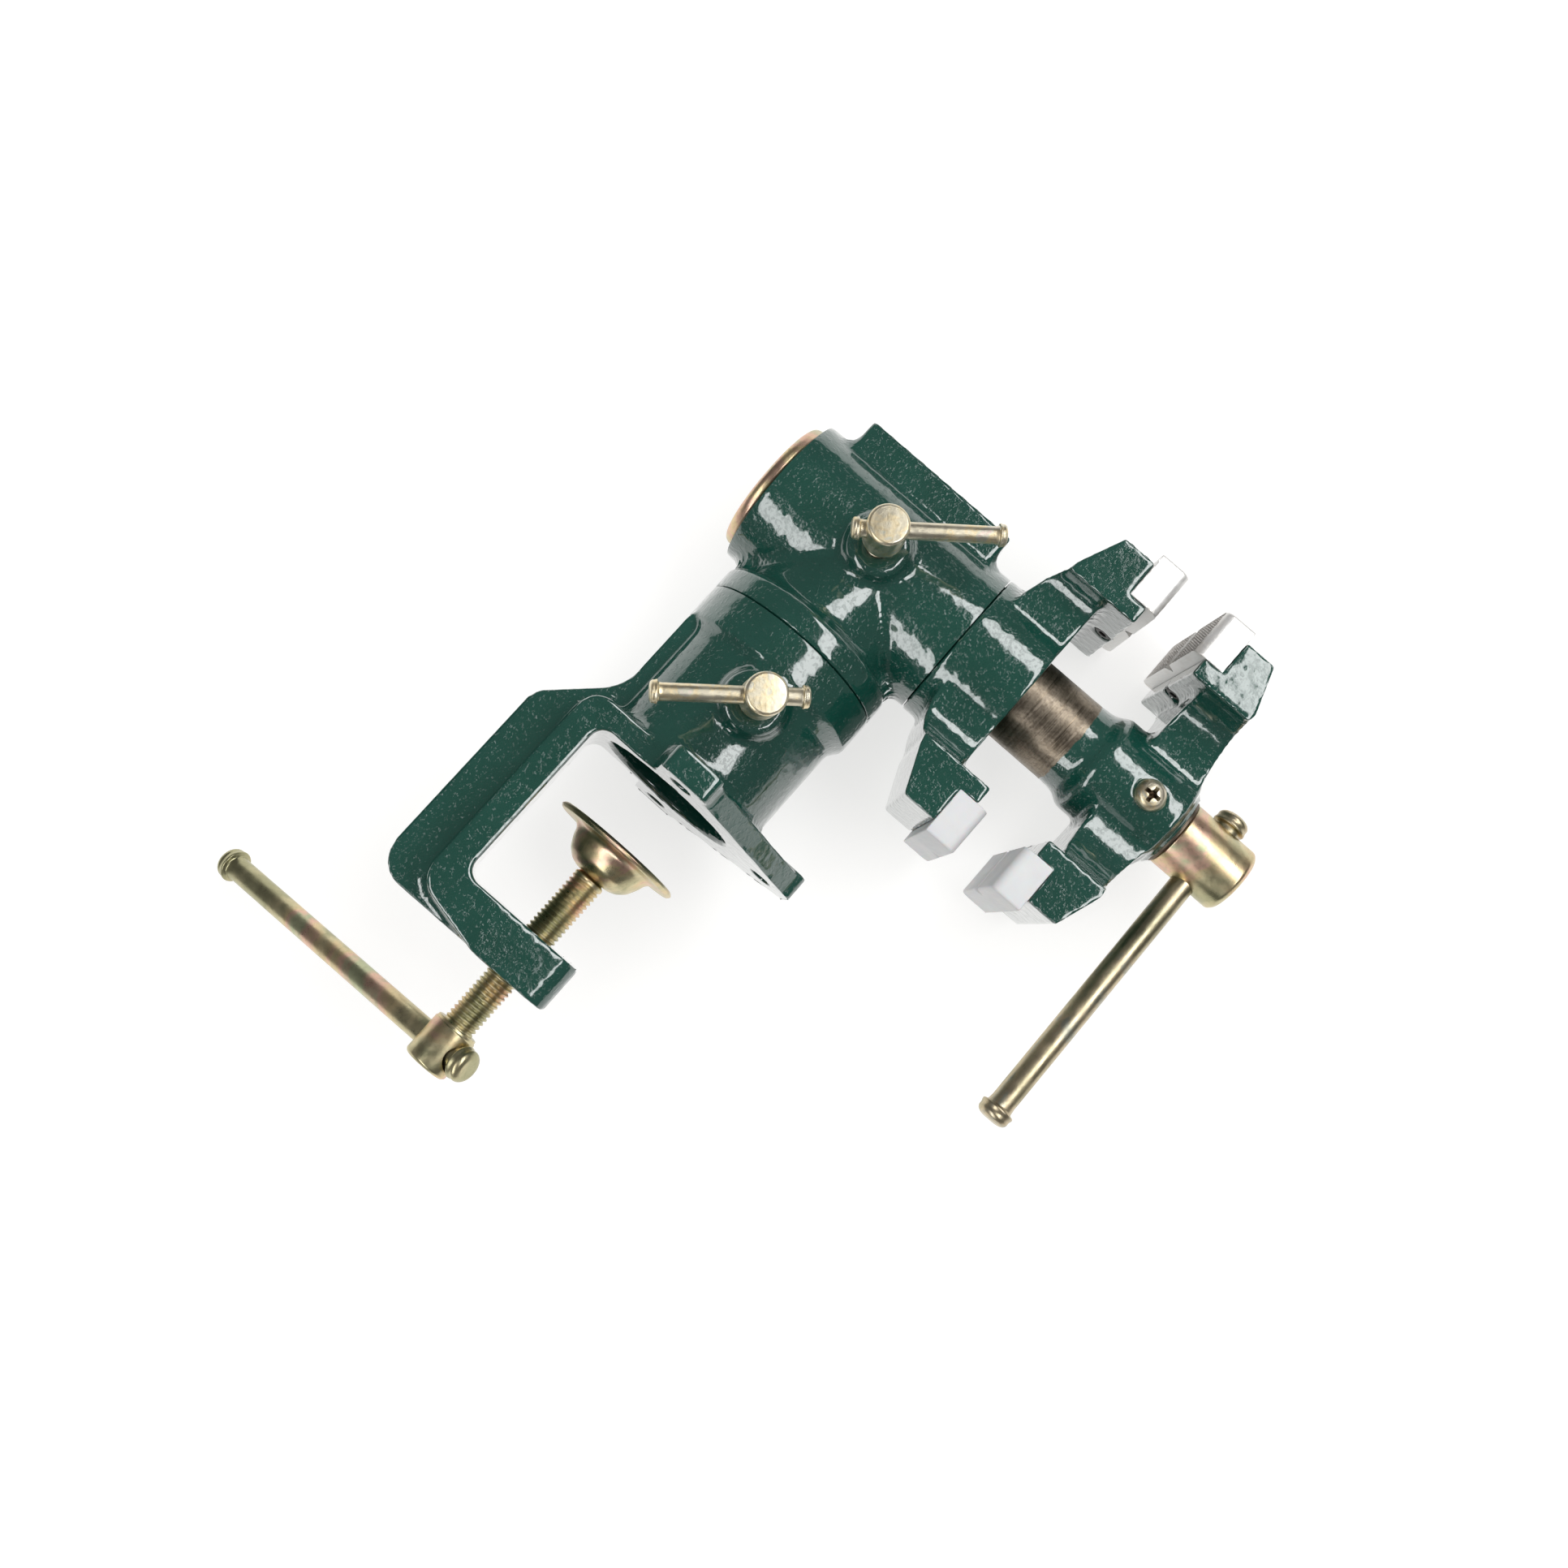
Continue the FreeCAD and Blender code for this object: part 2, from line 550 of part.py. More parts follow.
def jaw_plate(face_x, facing, side):
    """One replaceable jaw: a bar with a vertical vee in the middle of its face."""
    back = face_x - facing * PLATE_T
    x0, x1 = min(face_x, back), max(face_x, back)
    z0 = BARREL_Z + min(side * PLATE_LOW, side * PLATE_HIGH)
    z1 = BARREL_Z + max(side * PLATE_LOW, side * PLATE_HIGH)
    half = JAW_WIDTH / 2
    seat_gap = 0.05
    if facing > 0:
        plate = block(x0 + seat_gap, x1, -half, half, z0, z1)
    else:
        plate = block(x0, x1 - seat_gap, -half, half, z0, z1)
    plate = rounded(plate, 3.0, lambda edge: abs(edge.CenterOfMass.x - face_x) < 0.01
                    and abs(edge.CenterOfMass.y) > half - 0.01)
    vee = 2.6
    corners = [(face_x + facing, -vee - 1), (face_x + facing, vee + 1), (face_x - facing * vee, 0)]
    points = [Vector(x, y, z0 - 1) for x, y in corners]
    groove = Part.Face(Part.makePolygon(points + points[:1])).extrude(AXIS_Z * (z1 - z0 + 2))
    x = plate_screw_x(face_x, facing)
    tapped = cylinder(1.5 + SCREW_GAP, Vector(x, 0, BARREL_Z + side * (PLATE_LOW - 1)),
                      Vector(x, 0, BARREL_Z + side * (PLATE_LOW + 8.2)))
    plate = plate.cut([groove, tapped])
    outer = BARREL_Z + side * PLATE_HIGH
    return rounded(plate, 0.8, lambda edge: abs(edge.BoundBox.ZMin - outer) < 0.01
                   and abs(edge.BoundBox.ZMax - outer) < 0.01 and abs(edge.CenterOfMass.x - back) > 1)


def plate_screw(face_x, facing, side):
    """Socket-head screw that holds one jaw plate down on its ledge."""
    x = plate_screw_x(face_x, facing)
    origin = Vector(x, 0, BARREL_Z)
    axis = AXIS_Z * side
    seat = JAW_LOW + 3.0
    head = seat - 2.6
    screw = turned([
        (head, 0), (head, 2.5), (head + 0.3, 2.8), (seat, 2.8), (seat, 1.5),
        (PLATE_LOW + 8.0, 1.5), (PLATE_LOW + 8.0, 0),
    ], origin, axis)
    socket = Part.Face(Part.makePolygon([
        origin + axis * (head - 1) + Vector(math.cos(a), math.sin(a), 0) * 1.45
        for a in [math.radians(60 * i) for i in range(7)]
    ])).extrude(axis * 2.6)
    return screw.cut(socket)


# ------------------------------------------------------------------ moving jaw
def moving_jaw():
    face_x = FACE_X + JAW_OPENING
    plate_back = face_x + PLATE_T
    ledge = face_x + LEDGE_BACK
    block_back_low = 111.2
    block_back_high = 106.4

    slide = turned([
        (SLIDE_BACK_X, 0), (SLIDE_BACK_X, SLIDE_R - 0.5), (SLIDE_BACK_X + 0.5, SLIDE_R),
        (NECK_X0, SLIDE_R), (NECK_X0 + 4, SLIDE_R + 0.3), (HUB_X0 - 2.5, SLIDE_R + 0.5),
        (HUB_X0 + 0.5, HUB_R - 0.4), (HUB_X0 + 2, HUB_R), (HUB_X1, HUB_R),
        (HUB_X1 + 1.0, HUB_R - 1.5), (HUB_X1 + 1.2, 13.4), (HUB_END_X, 13.0), (HUB_END_X, 0),
    ], BARREL, AXIS_X)
    solid = slide
    for side in (1, -1):
        arm = jaw_arm(MOVING_ARM_X, HUB_END_X, 12.5, side)
        arm = arm.common(head_outline([
            (MOVING_ARM_X, 0, 0), (MOVING_ARM_X, JAW_LOW + 1, 0), (block_back_low, JAW_LOW + 1, 0),
            (113.4, 22, 12), (HUB_X1, 11, 8), (HUB_X1 + 0.4, 0, 0),
        ], side))
        jaw = head_outline([
            (block_back_low, JAW_LOW, 2.0), (block_back_low, JAW_LOW + 3.0, 2.5),
            (block_back_high, JAW_HIGH, 1), (plate_back, JAW_HIGH, 0.4), (plate_back, PLATE_LOW, 0),
            (ledge, PLATE_LOW, 0.4), (ledge, JAW_LOW, 0.5),
        ], side)
        solid = solid.fuse([arm, jaw])
        solid = solid.cut(ledge_hole(face_x, -1, side))
    slide_bore = cylinder(SLIDE_BORE_BACK_R, BARREL + AXIS_X * (SLIDE_BACK_X - 1), BARREL + AXIS_X * (HUB_X0 - 1))
    hub_bore = cylinder(LEAD_R + RUNNING_GAP, BARREL, BARREL + AXIS_X * (HUB_END_X + 1))
    key_slot = block(SLIDE_BACK_X - 1, SLOT_END_X, -KEY_HALF - 0.2, KEY_HALF + 0.2, BARREL_Z, BARREL_Z + 20)
    seat_y = HUB_R - 0.6
    spot_face = cylinder(5.2, Vector(RETAINER_X, -seat_y, BARREL_Z), Vector(RETAINER_X, -seat_y - 8, BARREL_Z))
    retainer_hole = cylinder(2.5 + SCREW_GAP, Vector(RETAINER_X, -seat_y - 1, BARREL_Z),
                             Vector(RETAINER_X, 0, BARREL_Z))
    return solid.cut([slide_bore, hub_bore, key_slot, spot_face, retainer_hole]).removeSplitter()


def lead_screw():
    groove_r = 4.6
    groove_half = 2.4
    profile = [
        (LEAD_BACK_X, 0), (LEAD_BACK_X, LEAD_R - 1), (LEAD_BACK_X + 1, LEAD_R),
        (RETAINER_X - groove_half, LEAD_R), (RETAINER_X - groove_half, groove_r),
        (RETAINER_X + groove_half, groove_r), (RETAINER_X + groove_half, LEAD_R),
        (LEAD_HEAD_X0, LEAD_R), (LEAD_HEAD_X0, LEAD_HEAD_R - 0.4), (LEAD_HEAD_X0 + 0.4, LEAD_HEAD_R),
        (LEAD_HEAD_X1 - 1.2, LEAD_HEAD_R), (LEAD_HEAD_X1, LEAD_HEAD_R - 1.2), (LEAD_HEAD_X1, 0),
    ]
    screw = turned(profile, BARREL, AXIS_X)
    x = (LEAD_HEAD_X0 + LEAD_HEAD_X1) / 2
    reach = LEAD_HEAD_R + 1
    hole = cylinder(BAR_R + RUNNING_GAP, Vector(x, 0, BARREL_Z - reach), Vector(x, 0, BARREL_Z + reach))
    return screw.cut(hole)


def thrust_washer():
    x0 = HUB_END_X + 0.05
    x1 = LEAD_HEAD_X0 - 0.1
    washer = cylinder(11.2, BARREL + AXIS_X * x0, BARREL + AXIS_X * x1)
    return washer.cut(cylinder(LEAD_R + 0.25, BARREL + AXIS_X * (x0 - 1), BARREL + AXIS_X * (x1 + 1)))


def retaining_screw():
    """Cross-recess pan screw whose tip runs in the lead screw's groove."""
    seat = HUB_R - 0.6
    head_h = 3.2
    profile = [
        (-seat - head_h, 0), (-seat - head_h, 2.2), (-seat - head_h * 0.86, 3.7),
        (-seat - head_h * 0.5, 4.6), (-seat - 0.3, 4.75), (-seat, 4.6), (-seat, 2.5),
        (-8.0, 2.5), (-7.4, 1.9), (-5.0, 1.9), (-5.0, 0),
    ]
    screw = turned(profile, Vector(RETAINER_X, 0, BARREL_Z), AXIS_Y)
    top = -seat - head_h
    for a, b in ((2.6, 0.55), (0.55, 2.6)):
        screw = screw.cut(block(RETAINER_X - a, RETAINER_X + a, top - 1, top + 1.9,
                                BARREL_Z - b, BARREL_Z + b))
    return screw


def spindle_bar():
    """Hangs down, slid to its stop on the lead screw's head."""
    bar = knobbed_bar(BAR_LENGTH, BAR_R, BAR_KNOB_R, BAR_KNOB_L)
    short_end = LEAD_HEAD_R + BAR_KNOB_L + 0.3
    bar.rotate(Vector(0, 0, 0), AXIS_Y, -90)
    x = (LEAD_HEAD_X0 + LEAD_HEAD_X1) / 2
    bar.translate(Vector(x, 0, BARREL_Z + short_end - BAR_LENGTH / 2))
    return bar


# ------------------------------------------------------------------ assembly
def pieces():
    """Every piece of the vise, by name."""
    stem_groove = 19.6
    base_lock_screw, base_lock_bar = lock_pair(LOCK_Z, LOCK_FACE_Y, -stem_groove - 0.3, 220.5, 30.5)
    barrel_lock_screw, barrel_lock_bar = lock_pair(
        BARREL_LOCK_Z, BARREL_LOCK_FACE_Y, -SLEEVE_BORE_R - 0.2, 39.3, 33.3)
    base = {
        "base_casting": base_casting(),
        "clamp_pad": clamp_pad(),
        "clamp_screw": clamp_screw(),
        "clamp_bar": clamp_bar(),
        "base_lock_screw": base_lock_screw,
        "base_lock_bar": base_lock_bar,
    }
    elbow = {
        "elbow_casting": elbow_casting(),
        "barrel_lock_screw": barrel_lock_screw,
        "barrel_lock_bar": barrel_lock_bar,
        "spindle_bar": spindle_bar(),
        "lead_screw": lead_screw(),
    }
    moving_face = FACE_X + JAW_OPENING
    head = {
        "fixed_jaw": fixed_jaw(),
        "rear_disc": rear_disc(),
        "rear_disc_screws": disc_screw_group(0),
        "lead_nut": lead_nut(),
        "lead_nut_screw": nut_screw_shape(0),
        "fixed_steel_plate": jaw_plate(FACE_X, 1, 1),
        "fixed_soft_jaw": jaw_plate(FACE_X, 1, -1),
        "fixed_plate_screw": plate_screw(FACE_X, 1, 1),
        "fixed_soft_jaw_screw": plate_screw(FACE_X, 1, -1),
        "moving_jaw": moving_jaw(),
        "moving_steel_plate": jaw_plate(moving_face, -1, 1),
        "moving_soft_jaw": jaw_plate(moving_face, -1, -1),
        "moving_plate_screw": plate_screw(moving_face, -1, 1),
        "moving_soft_jaw_screw": plate_screw(moving_face, -1, -1),
        "lead_screw_retainer": retaining_screw(),
        "thrust_washer": thrust_washer(),
    }
    made = dict(base)
    for name, shape in elbow.items():
        made[name] = swivel(shape)
    for name, shape in head.items():
        made[name] = swivel(roll(shape))
    return made


os.makedirs("parts", exist_ok=True)
for piece_name, piece_shape in pieces().items():
    piece_shape.exportStep("parts/" + piece_name + ".step")
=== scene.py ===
import json
import math

import bmesh
import bpy
import numpy as np
from mathutils import Matrix, Vector

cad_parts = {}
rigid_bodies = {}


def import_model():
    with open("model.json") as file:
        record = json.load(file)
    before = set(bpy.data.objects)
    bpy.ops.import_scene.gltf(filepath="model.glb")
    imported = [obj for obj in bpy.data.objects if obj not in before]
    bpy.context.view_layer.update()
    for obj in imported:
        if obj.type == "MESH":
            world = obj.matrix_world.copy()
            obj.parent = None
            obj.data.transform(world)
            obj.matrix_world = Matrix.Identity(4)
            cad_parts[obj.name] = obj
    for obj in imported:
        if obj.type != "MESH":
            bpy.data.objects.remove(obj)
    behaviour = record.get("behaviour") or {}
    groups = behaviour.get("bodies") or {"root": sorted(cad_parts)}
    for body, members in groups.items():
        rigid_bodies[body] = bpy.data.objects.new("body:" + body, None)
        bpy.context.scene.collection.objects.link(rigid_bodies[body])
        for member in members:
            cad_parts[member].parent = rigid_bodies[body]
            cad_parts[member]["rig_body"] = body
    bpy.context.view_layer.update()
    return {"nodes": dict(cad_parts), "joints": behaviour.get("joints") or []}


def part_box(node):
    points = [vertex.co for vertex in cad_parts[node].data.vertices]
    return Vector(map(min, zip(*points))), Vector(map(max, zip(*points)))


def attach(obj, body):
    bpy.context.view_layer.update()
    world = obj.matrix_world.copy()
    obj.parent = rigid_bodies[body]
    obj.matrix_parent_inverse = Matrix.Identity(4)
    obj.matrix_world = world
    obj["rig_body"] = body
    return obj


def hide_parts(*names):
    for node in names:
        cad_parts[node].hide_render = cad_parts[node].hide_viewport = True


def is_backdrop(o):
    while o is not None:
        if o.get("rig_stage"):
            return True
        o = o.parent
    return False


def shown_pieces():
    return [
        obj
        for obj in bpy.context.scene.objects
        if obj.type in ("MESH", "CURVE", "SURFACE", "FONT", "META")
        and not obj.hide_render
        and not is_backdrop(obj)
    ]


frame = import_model()
nodes = frame["nodes"]
joints = {joint["name"]: joint for joint in frame["joints"]}
scene = bpy.context.scene

MM = 0.001
HEAD_ROLL = math.radians(4.0)       # stored roll of the jaw head about the barrel axis
QUADS = 84000                       # faces in each remeshed casting, before it is cut

BIG_BAR = (116.0, 3.8, 5.3, 4.8)    # length, radius, knob radius and knob length, in millimetres
LOCK_BAR = (43.0, 2.46, 3.3, 2.45)
CLAMP_PITCH, LEAD_PITCH, LOCK_PITCH = 1.5, 3.0, 1.25

BASE_TOP = 54.3                     # top of the socket, up the swivel axis
SLEEVE_FRONT, SLEEVE_BACK = 34.3, -35.0
NECK_X = 79.3                       # along the barrel, where the moving jaw's paint ends
CASTING_FILLET, JAW_FILLET = 2.2, 1.5
SCREW_X = 105.0                     # the retaining screw's place along the barrel

KNURL_PITCH, KNURL_DEPTH = 1.6, 0.55

# ------------------------------------------------------------------ places
ORIGIN = Vector((0, 0, 0))
UP = Vector((0, 0, 1))


def place(origin, along, side=UP):
    """Matrix of a local frame in millimetres: +X along, and +Z as near to side as it can be."""
    x = Vector(along).normalized()
    y = Vector(side).cross(x).normalized()
    z = x.cross(y)
    matrix = Matrix((x, y, z)).transposed().to_4x4()
    matrix.translation = Vector(origin)
    return matrix @ Matrix.Scale(MM, 4)


def joint_point(name):
    return Vector(joints[name].get("pos_m", (0, 0, 0)))


def joint_axis(name):
    return Vector(joints[name]["axis"])


def low(node, axis):
    """Lowest coordinate of a CAD node along one axis of the vise's frame, in millimetres."""
    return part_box(node)[0][axis] / MM


def high(node, axis):
    """Highest coordinate of a CAD node along one axis of the vise's frame, in millimetres."""
    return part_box(node)[1][axis] / MM


def middle(node):
    corner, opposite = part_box(node)
    return (corner + opposite) / 2


def reach_of(node, origin, direction):
    """How far a CAD node goes from a point along a direction, in millimetres."""
    return max((vertex.co - origin).dot(direction) for vertex in nodes[node].data.vertices) / MM


BARREL = place(joint_point("head_roll"), joint_axis("head_roll"))
HEAD = BARREL @ Matrix.Rotation(HEAD_ROLL, 4, "X")
SWIVEL_AXIS = place(ORIGIN, UP, (-1, 0, 0))


# ------------------------------------------------------------------ mesh tools
def link(name, mesh):
    obj = bpy.data.objects.new(name, mesh)
    scene.collection.objects.link(obj)
    return obj


def applied(mesh, kind, **settings):
    """The mesh after one modifier."""
    obj = link("work", mesh)
    modifier = obj.modifiers.new("work", kind)
    for key, value in settings.items():
        setattr(modifier, key, value)
    graph = bpy.context.evaluated_depsgraph_get()
    made = bpy.data.meshes.new_from_object(obj.evaluated_get(graph))
    bpy.data.objects.remove(obj)
    return made


def welded(mesh):
    bm = bmesh.new()
    bm.from_mesh(mesh)
    bmesh.ops.remove_doubles(bm, verts=bm.verts, dist=1e-6)
    made = bpy.data.meshes.new("welded")
    bm.to_mesh(made)
    bm.free()
    return made


def outward(mesh):
    """The same closed mesh with all its faces turned outwards."""
    bm = bmesh.new()
    bm.from_mesh(mesh)
    bmesh.ops.recalc_face_normals(bm, faces=bm.faces)
    bm.to_mesh(mesh)
    bm.free()
    return mesh


def joined(*meshes):
    bm = bmesh.new()
    for mesh in meshes:
        bm.from_mesh(mesh)
    made = bpy.data.meshes.new("joined")
    bm.to_mesh(made)
    bm.free()
    return made


def points(mesh):
    co = np.empty(len(mesh.vertices) * 3)
    mesh.vertices.foreach_get("co", co)
    return co.reshape(-1, 3)


def set_points(mesh, co):
    mesh.vertices.foreach_set("co", np.ascontiguousarray(co).ravel())
    mesh.update()


def normals(mesh):
    out = np.empty(len(mesh.vertices) * 3)
    mesh.vertex_normals.foreach_get("vector", out)
    return out.reshape(-1, 3)


def relaxed(mesh, times, share=0.5):
    """Evens out the mesh. Every second step is outwards, so the shape does not shrink."""
    pairs = np.empty(len(mesh.edges) * 2, int)
    mesh.edges.foreach_get("vertices", pairs)
    a, b = pairs[0::2], pairs[1::2]
    co = points(mesh)
    count = np.bincount(pairs, minlength=len(co)).clip(1)[:, None]
    for step in range(times * 2):
        total = np.stack([
            np.bincount(a, co[b, i], len(co)) + np.bincount(b, co[a, i], len(co))
            for i in range(3)
        ], 1)
        co = co + (total / count - co) * (share if step % 2 == 0 else -share * 1.05)
    set_points(mesh, co)
    return mesh


def pushed(mesh, distance):
    set_points(mesh, points(mesh) + normals(mesh) * distance)
    return mesh


def voxeled(mesh, size):
    return applied(mesh, "REMESH", mode="VOXEL", voxel_size=size, use_smooth_shade=True)


def smooth(mesh, angle=180):
    mesh.shade_smooth()
    if angle < 180:
        mesh.set_sharp_from_angle(angle=math.radians(angle))
    return mesh


def piece(name, mesh, node, material):
    """A finished piece that stands for a CAD node and rides on its body."""
    mesh.materials.clear()
    mesh.materials.append(material)
    mesh.name = name
    obj = link(name, mesh)
    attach(obj, nodes[node]["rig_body"])
    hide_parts(node)
    return obj


# ------------------------------------------------------------------ turned pieces
def soften(profile, radius, steps=4):
    """Rounds the corners of a turned profile of (distance along, radius) points."""
    out = [profile[0]]
    for before, here, after in zip(profile, profile[1:], profile[2:]):
        h, p, q = Vector(here), Vector(before), Vector(after)
        reach = min(radius, (h - p).length * 0.45, (q - h).length * 0.45)
        start, end = h + (p - h).normalized() * reach, h + (q - h).normalized() * reach
        for i in range(steps + 1):
            t = i / steps
            point = start * (1 - t) ** 2 + h * 2 * t * (1 - t) + end * t * t
            out.append((point.x, point.y))
    out.append(profile[-1])
    return out


def lathe(profile, segments=80, thread=None):
    """A turned mesh about local +X. thread is (start, end, pitch, depth) of a helical thread."""
    rows = list(profile)
    if thread:
        start, end, pitch, depth = thread
        fine = [start + i * pitch / 10 for i in range(1, int((end - start) / pitch * 10))]
        radius = next(r for (a, r), (b, _) in zip(rows, rows[1:]) if a <= start + 0.01 < b)
        at = next(i for i, (a, _) in enumerate(rows) if a > fine[0])
        rows[at:at] = [(a, radius) for a in fine]
    co, faces, previous = [], [], None
    for along, radius in rows:
        if radius < 1e-6:
            ring = [len(co)]
            co.append((along, 0, 0))
        else:
            ring = []
            for i in range(segments):
                angle = 2 * math.pi * i / segments
                r = radius
                if thread and start < along < end:
                    phase = (along / pitch - i / segments) % 1
                    crest = min(max((1 - abs(2 * phase - 1) - 0.14) / 0.68, 0), 1)
                    run_out = min(1, (along - start) / pitch, (end - along) / pitch)
                    r = radius - depth * (1 - crest) * run_out
                ring.append(len(co))
                co.append((along, r * math.cos(angle), r * math.sin(angle)))
        if previous:
            for i in range(segments):
                j = (i + 1) % segments
                if len(previous) == 1 and len(ring) > 1:
                    faces.append((previous[0], ring[j], ring[i]))
                elif len(ring) == 1 and len(previous) > 1:
                    faces.append((previous[i], previous[j], ring[0]))
                elif len(ring) > 1:
                    faces.append((previous[i], previous[j], ring[j], ring[i]))
        previous = ring
    mesh = bpy.data.meshes.new("turned")
    mesh.from_pydata(co, [], faces)
    return smooth(outward(mesh))


def ring_of(profile, segments=80):
    """A turned mesh whose profile is closed, such as a washer or a pressed dish."""
    count = len(profile)
    co = [(a, r * math.cos(2 * math.pi * i / segments), r * math.sin(2 * math.pi * i / segments))
          for a, r in profile for i in range(segments)]
    faces = [(k * segments + i, k * segments + (i + 1) % segments,
              (k + 1) % count * segments + (i + 1) % segments, (k + 1) % count * segments + i)
             for k in range(count) for i in range(segments)]
    mesh = bpy.data.meshes.new("ring")
    mesh.from_pydata(co, [], faces)
    return smooth(outward(mesh))


def moved(mesh, matrix):
    mesh.transform(matrix)
    return mesh


def drilled(mesh, *cutters):
    """The mesh less each cutter mesh, all in the same local frame."""
    for cutter in cutters:
        tool = link("tool", cutter)
        mesh = applied(mesh, "BOOLEAN", operation="DIFFERENCE", solver="EXACT", object=tool)
        bpy.data.objects.remove(tool)
    return smooth(mesh, 35)


def rod(radius, start, end, segments=64):
    """A closed cylinder between two points of the local frame."""
    a, b = Vector(start), Vector(end)
    mesh = lathe([(0, 0), (0, radius), ((b - a).length, radius), ((b - a).length, 0)], segments)
    x = (b - a).normalized()
    side = Vector((0, 0, 1)) if abs(x.z) < 0.9 else Vector((1, 0, 0))
    y = side.cross(x).normalized()
    matrix = Matrix((x, y, x.cross(y))).transposed().to_4x4()
    matrix.translation = a
    return moved(mesh, matrix)


def knobbed_bar(length, radius, knob_radius, knob_length):
    """A bar along local X, with an upset knob and its lip at each end."""
    half, k, s = length / 2, knob_radius, knob_length / 4.8
    end = [(0, 0), (0, k * 0.62), (0.55 * s, k * 0.84), (1.5 * s, k * 0.95), (2.5 * s, k * 0.93),
           (3.3 * s, k * 0.98), (3.7 * s, k), (4.1 * s, k * 0.97), (4.4 * s, radius * 1.06),
           (6.4 * s, radius)]
    left = [(a - half, r) for a, r in end]
    right = [(half - a, r) for a, r in reversed(end)]
    return lathe(soften(left + right, 0.45 * s + 0.05), 72)


# ------------------------------------------------------------------ materials
class Finish:
    """A material on one Principled node, with its pattern in the piece's own coordinates."""

    def __init__(self, name, **values):
        self.material = bpy.data.materials.new(name)
        self.material.use_nodes = True
        self.tree = self.material.node_tree
        self.shader = self.tree.nodes["Principled BSDF"]
        for key, value in values.items():
            self.shader.inputs[key.replace("_", " ")].default_value = value
        self.where = self.add("ShaderNodeTexCoord").outputs["Object"]

    def add(self, kind, attributes=None, **inputs):
        node = self.tree.nodes.new(kind)
        for key, value in (attributes or {}).items():
            setattr(node, key, value)
        for key, value in inputs.items():
            name = int(key[1:]) if key[0] == "i" and key[1:].isdigit() else key.replace("_", " ")
            if isinstance(value, bpy.types.NodeSocket):
                self.tree.links.new(value, node.inputs[name])
            else:
                node.inputs[name].default_value = value
        return node

    def noise(self, scale, detail=2.0, roughness=0.5, vector=None, distortion=0.0):
        return self.add("ShaderNodeTexNoise", Vector=vector or self.where, Scale=scale, Detail=detail,
                        Roughness=roughness, Distortion=distortion).outputs["Fac"]

    def stretched(self, scale, rotation=(0, 0, 0)):
        """The piece's coordinates turned and then stretched, for drawn or turned grain."""
        turned = self.add("ShaderNodeMapping", Vector=self.where, Rotation=rotation).outputs[0]
        return self.add("ShaderNodeMapping", Vector=turned, Scale=scale).outputs[0]

    def maths(self, operation, a, b):
        return self.add("ShaderNodeMath", {"operation": operation}, i0=a, i1=b).outputs[0]

    def spread(self, value, low_in, high_in, low_out=0.0, high_out=1.0):
        return self.add("ShaderNodeMapRange", Value=value, From_Min=low_in, From_Max=high_in,
                        To_Min=low_out, To_Max=high_out).outputs[0]

    def blend(self, factor, a, b):
        node = self.add("ShaderNodeMix", {"data_type": "RGBA"}, i0=factor)
        for index, value in ((6, a), (7, b)):
            if isinstance(value, bpy.types.NodeSocket):
                self.tree.links.new(value, node.inputs[index])
            else:
                node.inputs[index].default_value = (*value, 1)
        return node.outputs[2]

    def ramp(self, value, *stops):
        node = self.add("ShaderNodeValToRGB", Fac=value)
        elements = node.color_ramp.elements
        while len(elements) < len(stops):
            elements.new(0.5)
        for element, (position, colour) in zip(elements, stops):
            element.position = position
            element.color = (*colour, 1)
        return node.outputs[0]

    def relief(self, height, depth, below=None):
        """Bump of a real depth in metres, over another bump."""
        node = self.add("ShaderNodeBump", Height=height, Distance=depth)
        if below is not None:
            self.tree.links.new(below, node.inputs["Normal"])
        return node.outputs[0]

    def set(self, **sockets):
        for key, socket in sockets.items():
            self.tree.links.new(socket, self.shader.inputs[key.replace("_", " ")])
        return self.material


PAINT_COAT = {"Coat_Roughness": 0.06, "Coat_IOR": 1.75}


def paint_parts(f):
    """Colour, roughness and normal of the green enamel: rippled patches and small pimples."""
    tint = f.noise(60, 3)
    colour = f.blend(f.spread(tint, 0.35, 0.7), (0.0058, 0.050, 0.036), (0.0080, 0.060, 0.044))
    patch = f.spread(f.noise(24, 2, 0.6), 0.46, 0.58, 0.22, 1.0)
    ripples = f.maths("MULTIPLY", f.noise(470, 2, 0.55), patch)
    pimples = f.maths("POWER", f.spread(f.noise(900, 1.5, 0.55), 0.54, 0.76), 1.3)
    normal = f.relief(ripples, 0.00026)
    normal = f.relief(pimples, 0.00016, normal)
    rough = f.spread(f.noise(480, 2), 0.3, 0.7, 0.09, 0.17)
    return colour, rough, normal


def make_paint():
    f = Finish("green_enamel", Coat_Weight=1.0, **PAINT_COAT)
    colour, rough, normal = paint_parts(f)
    return f.set(Base_Color=colour, Roughness=rough, Normal=normal)


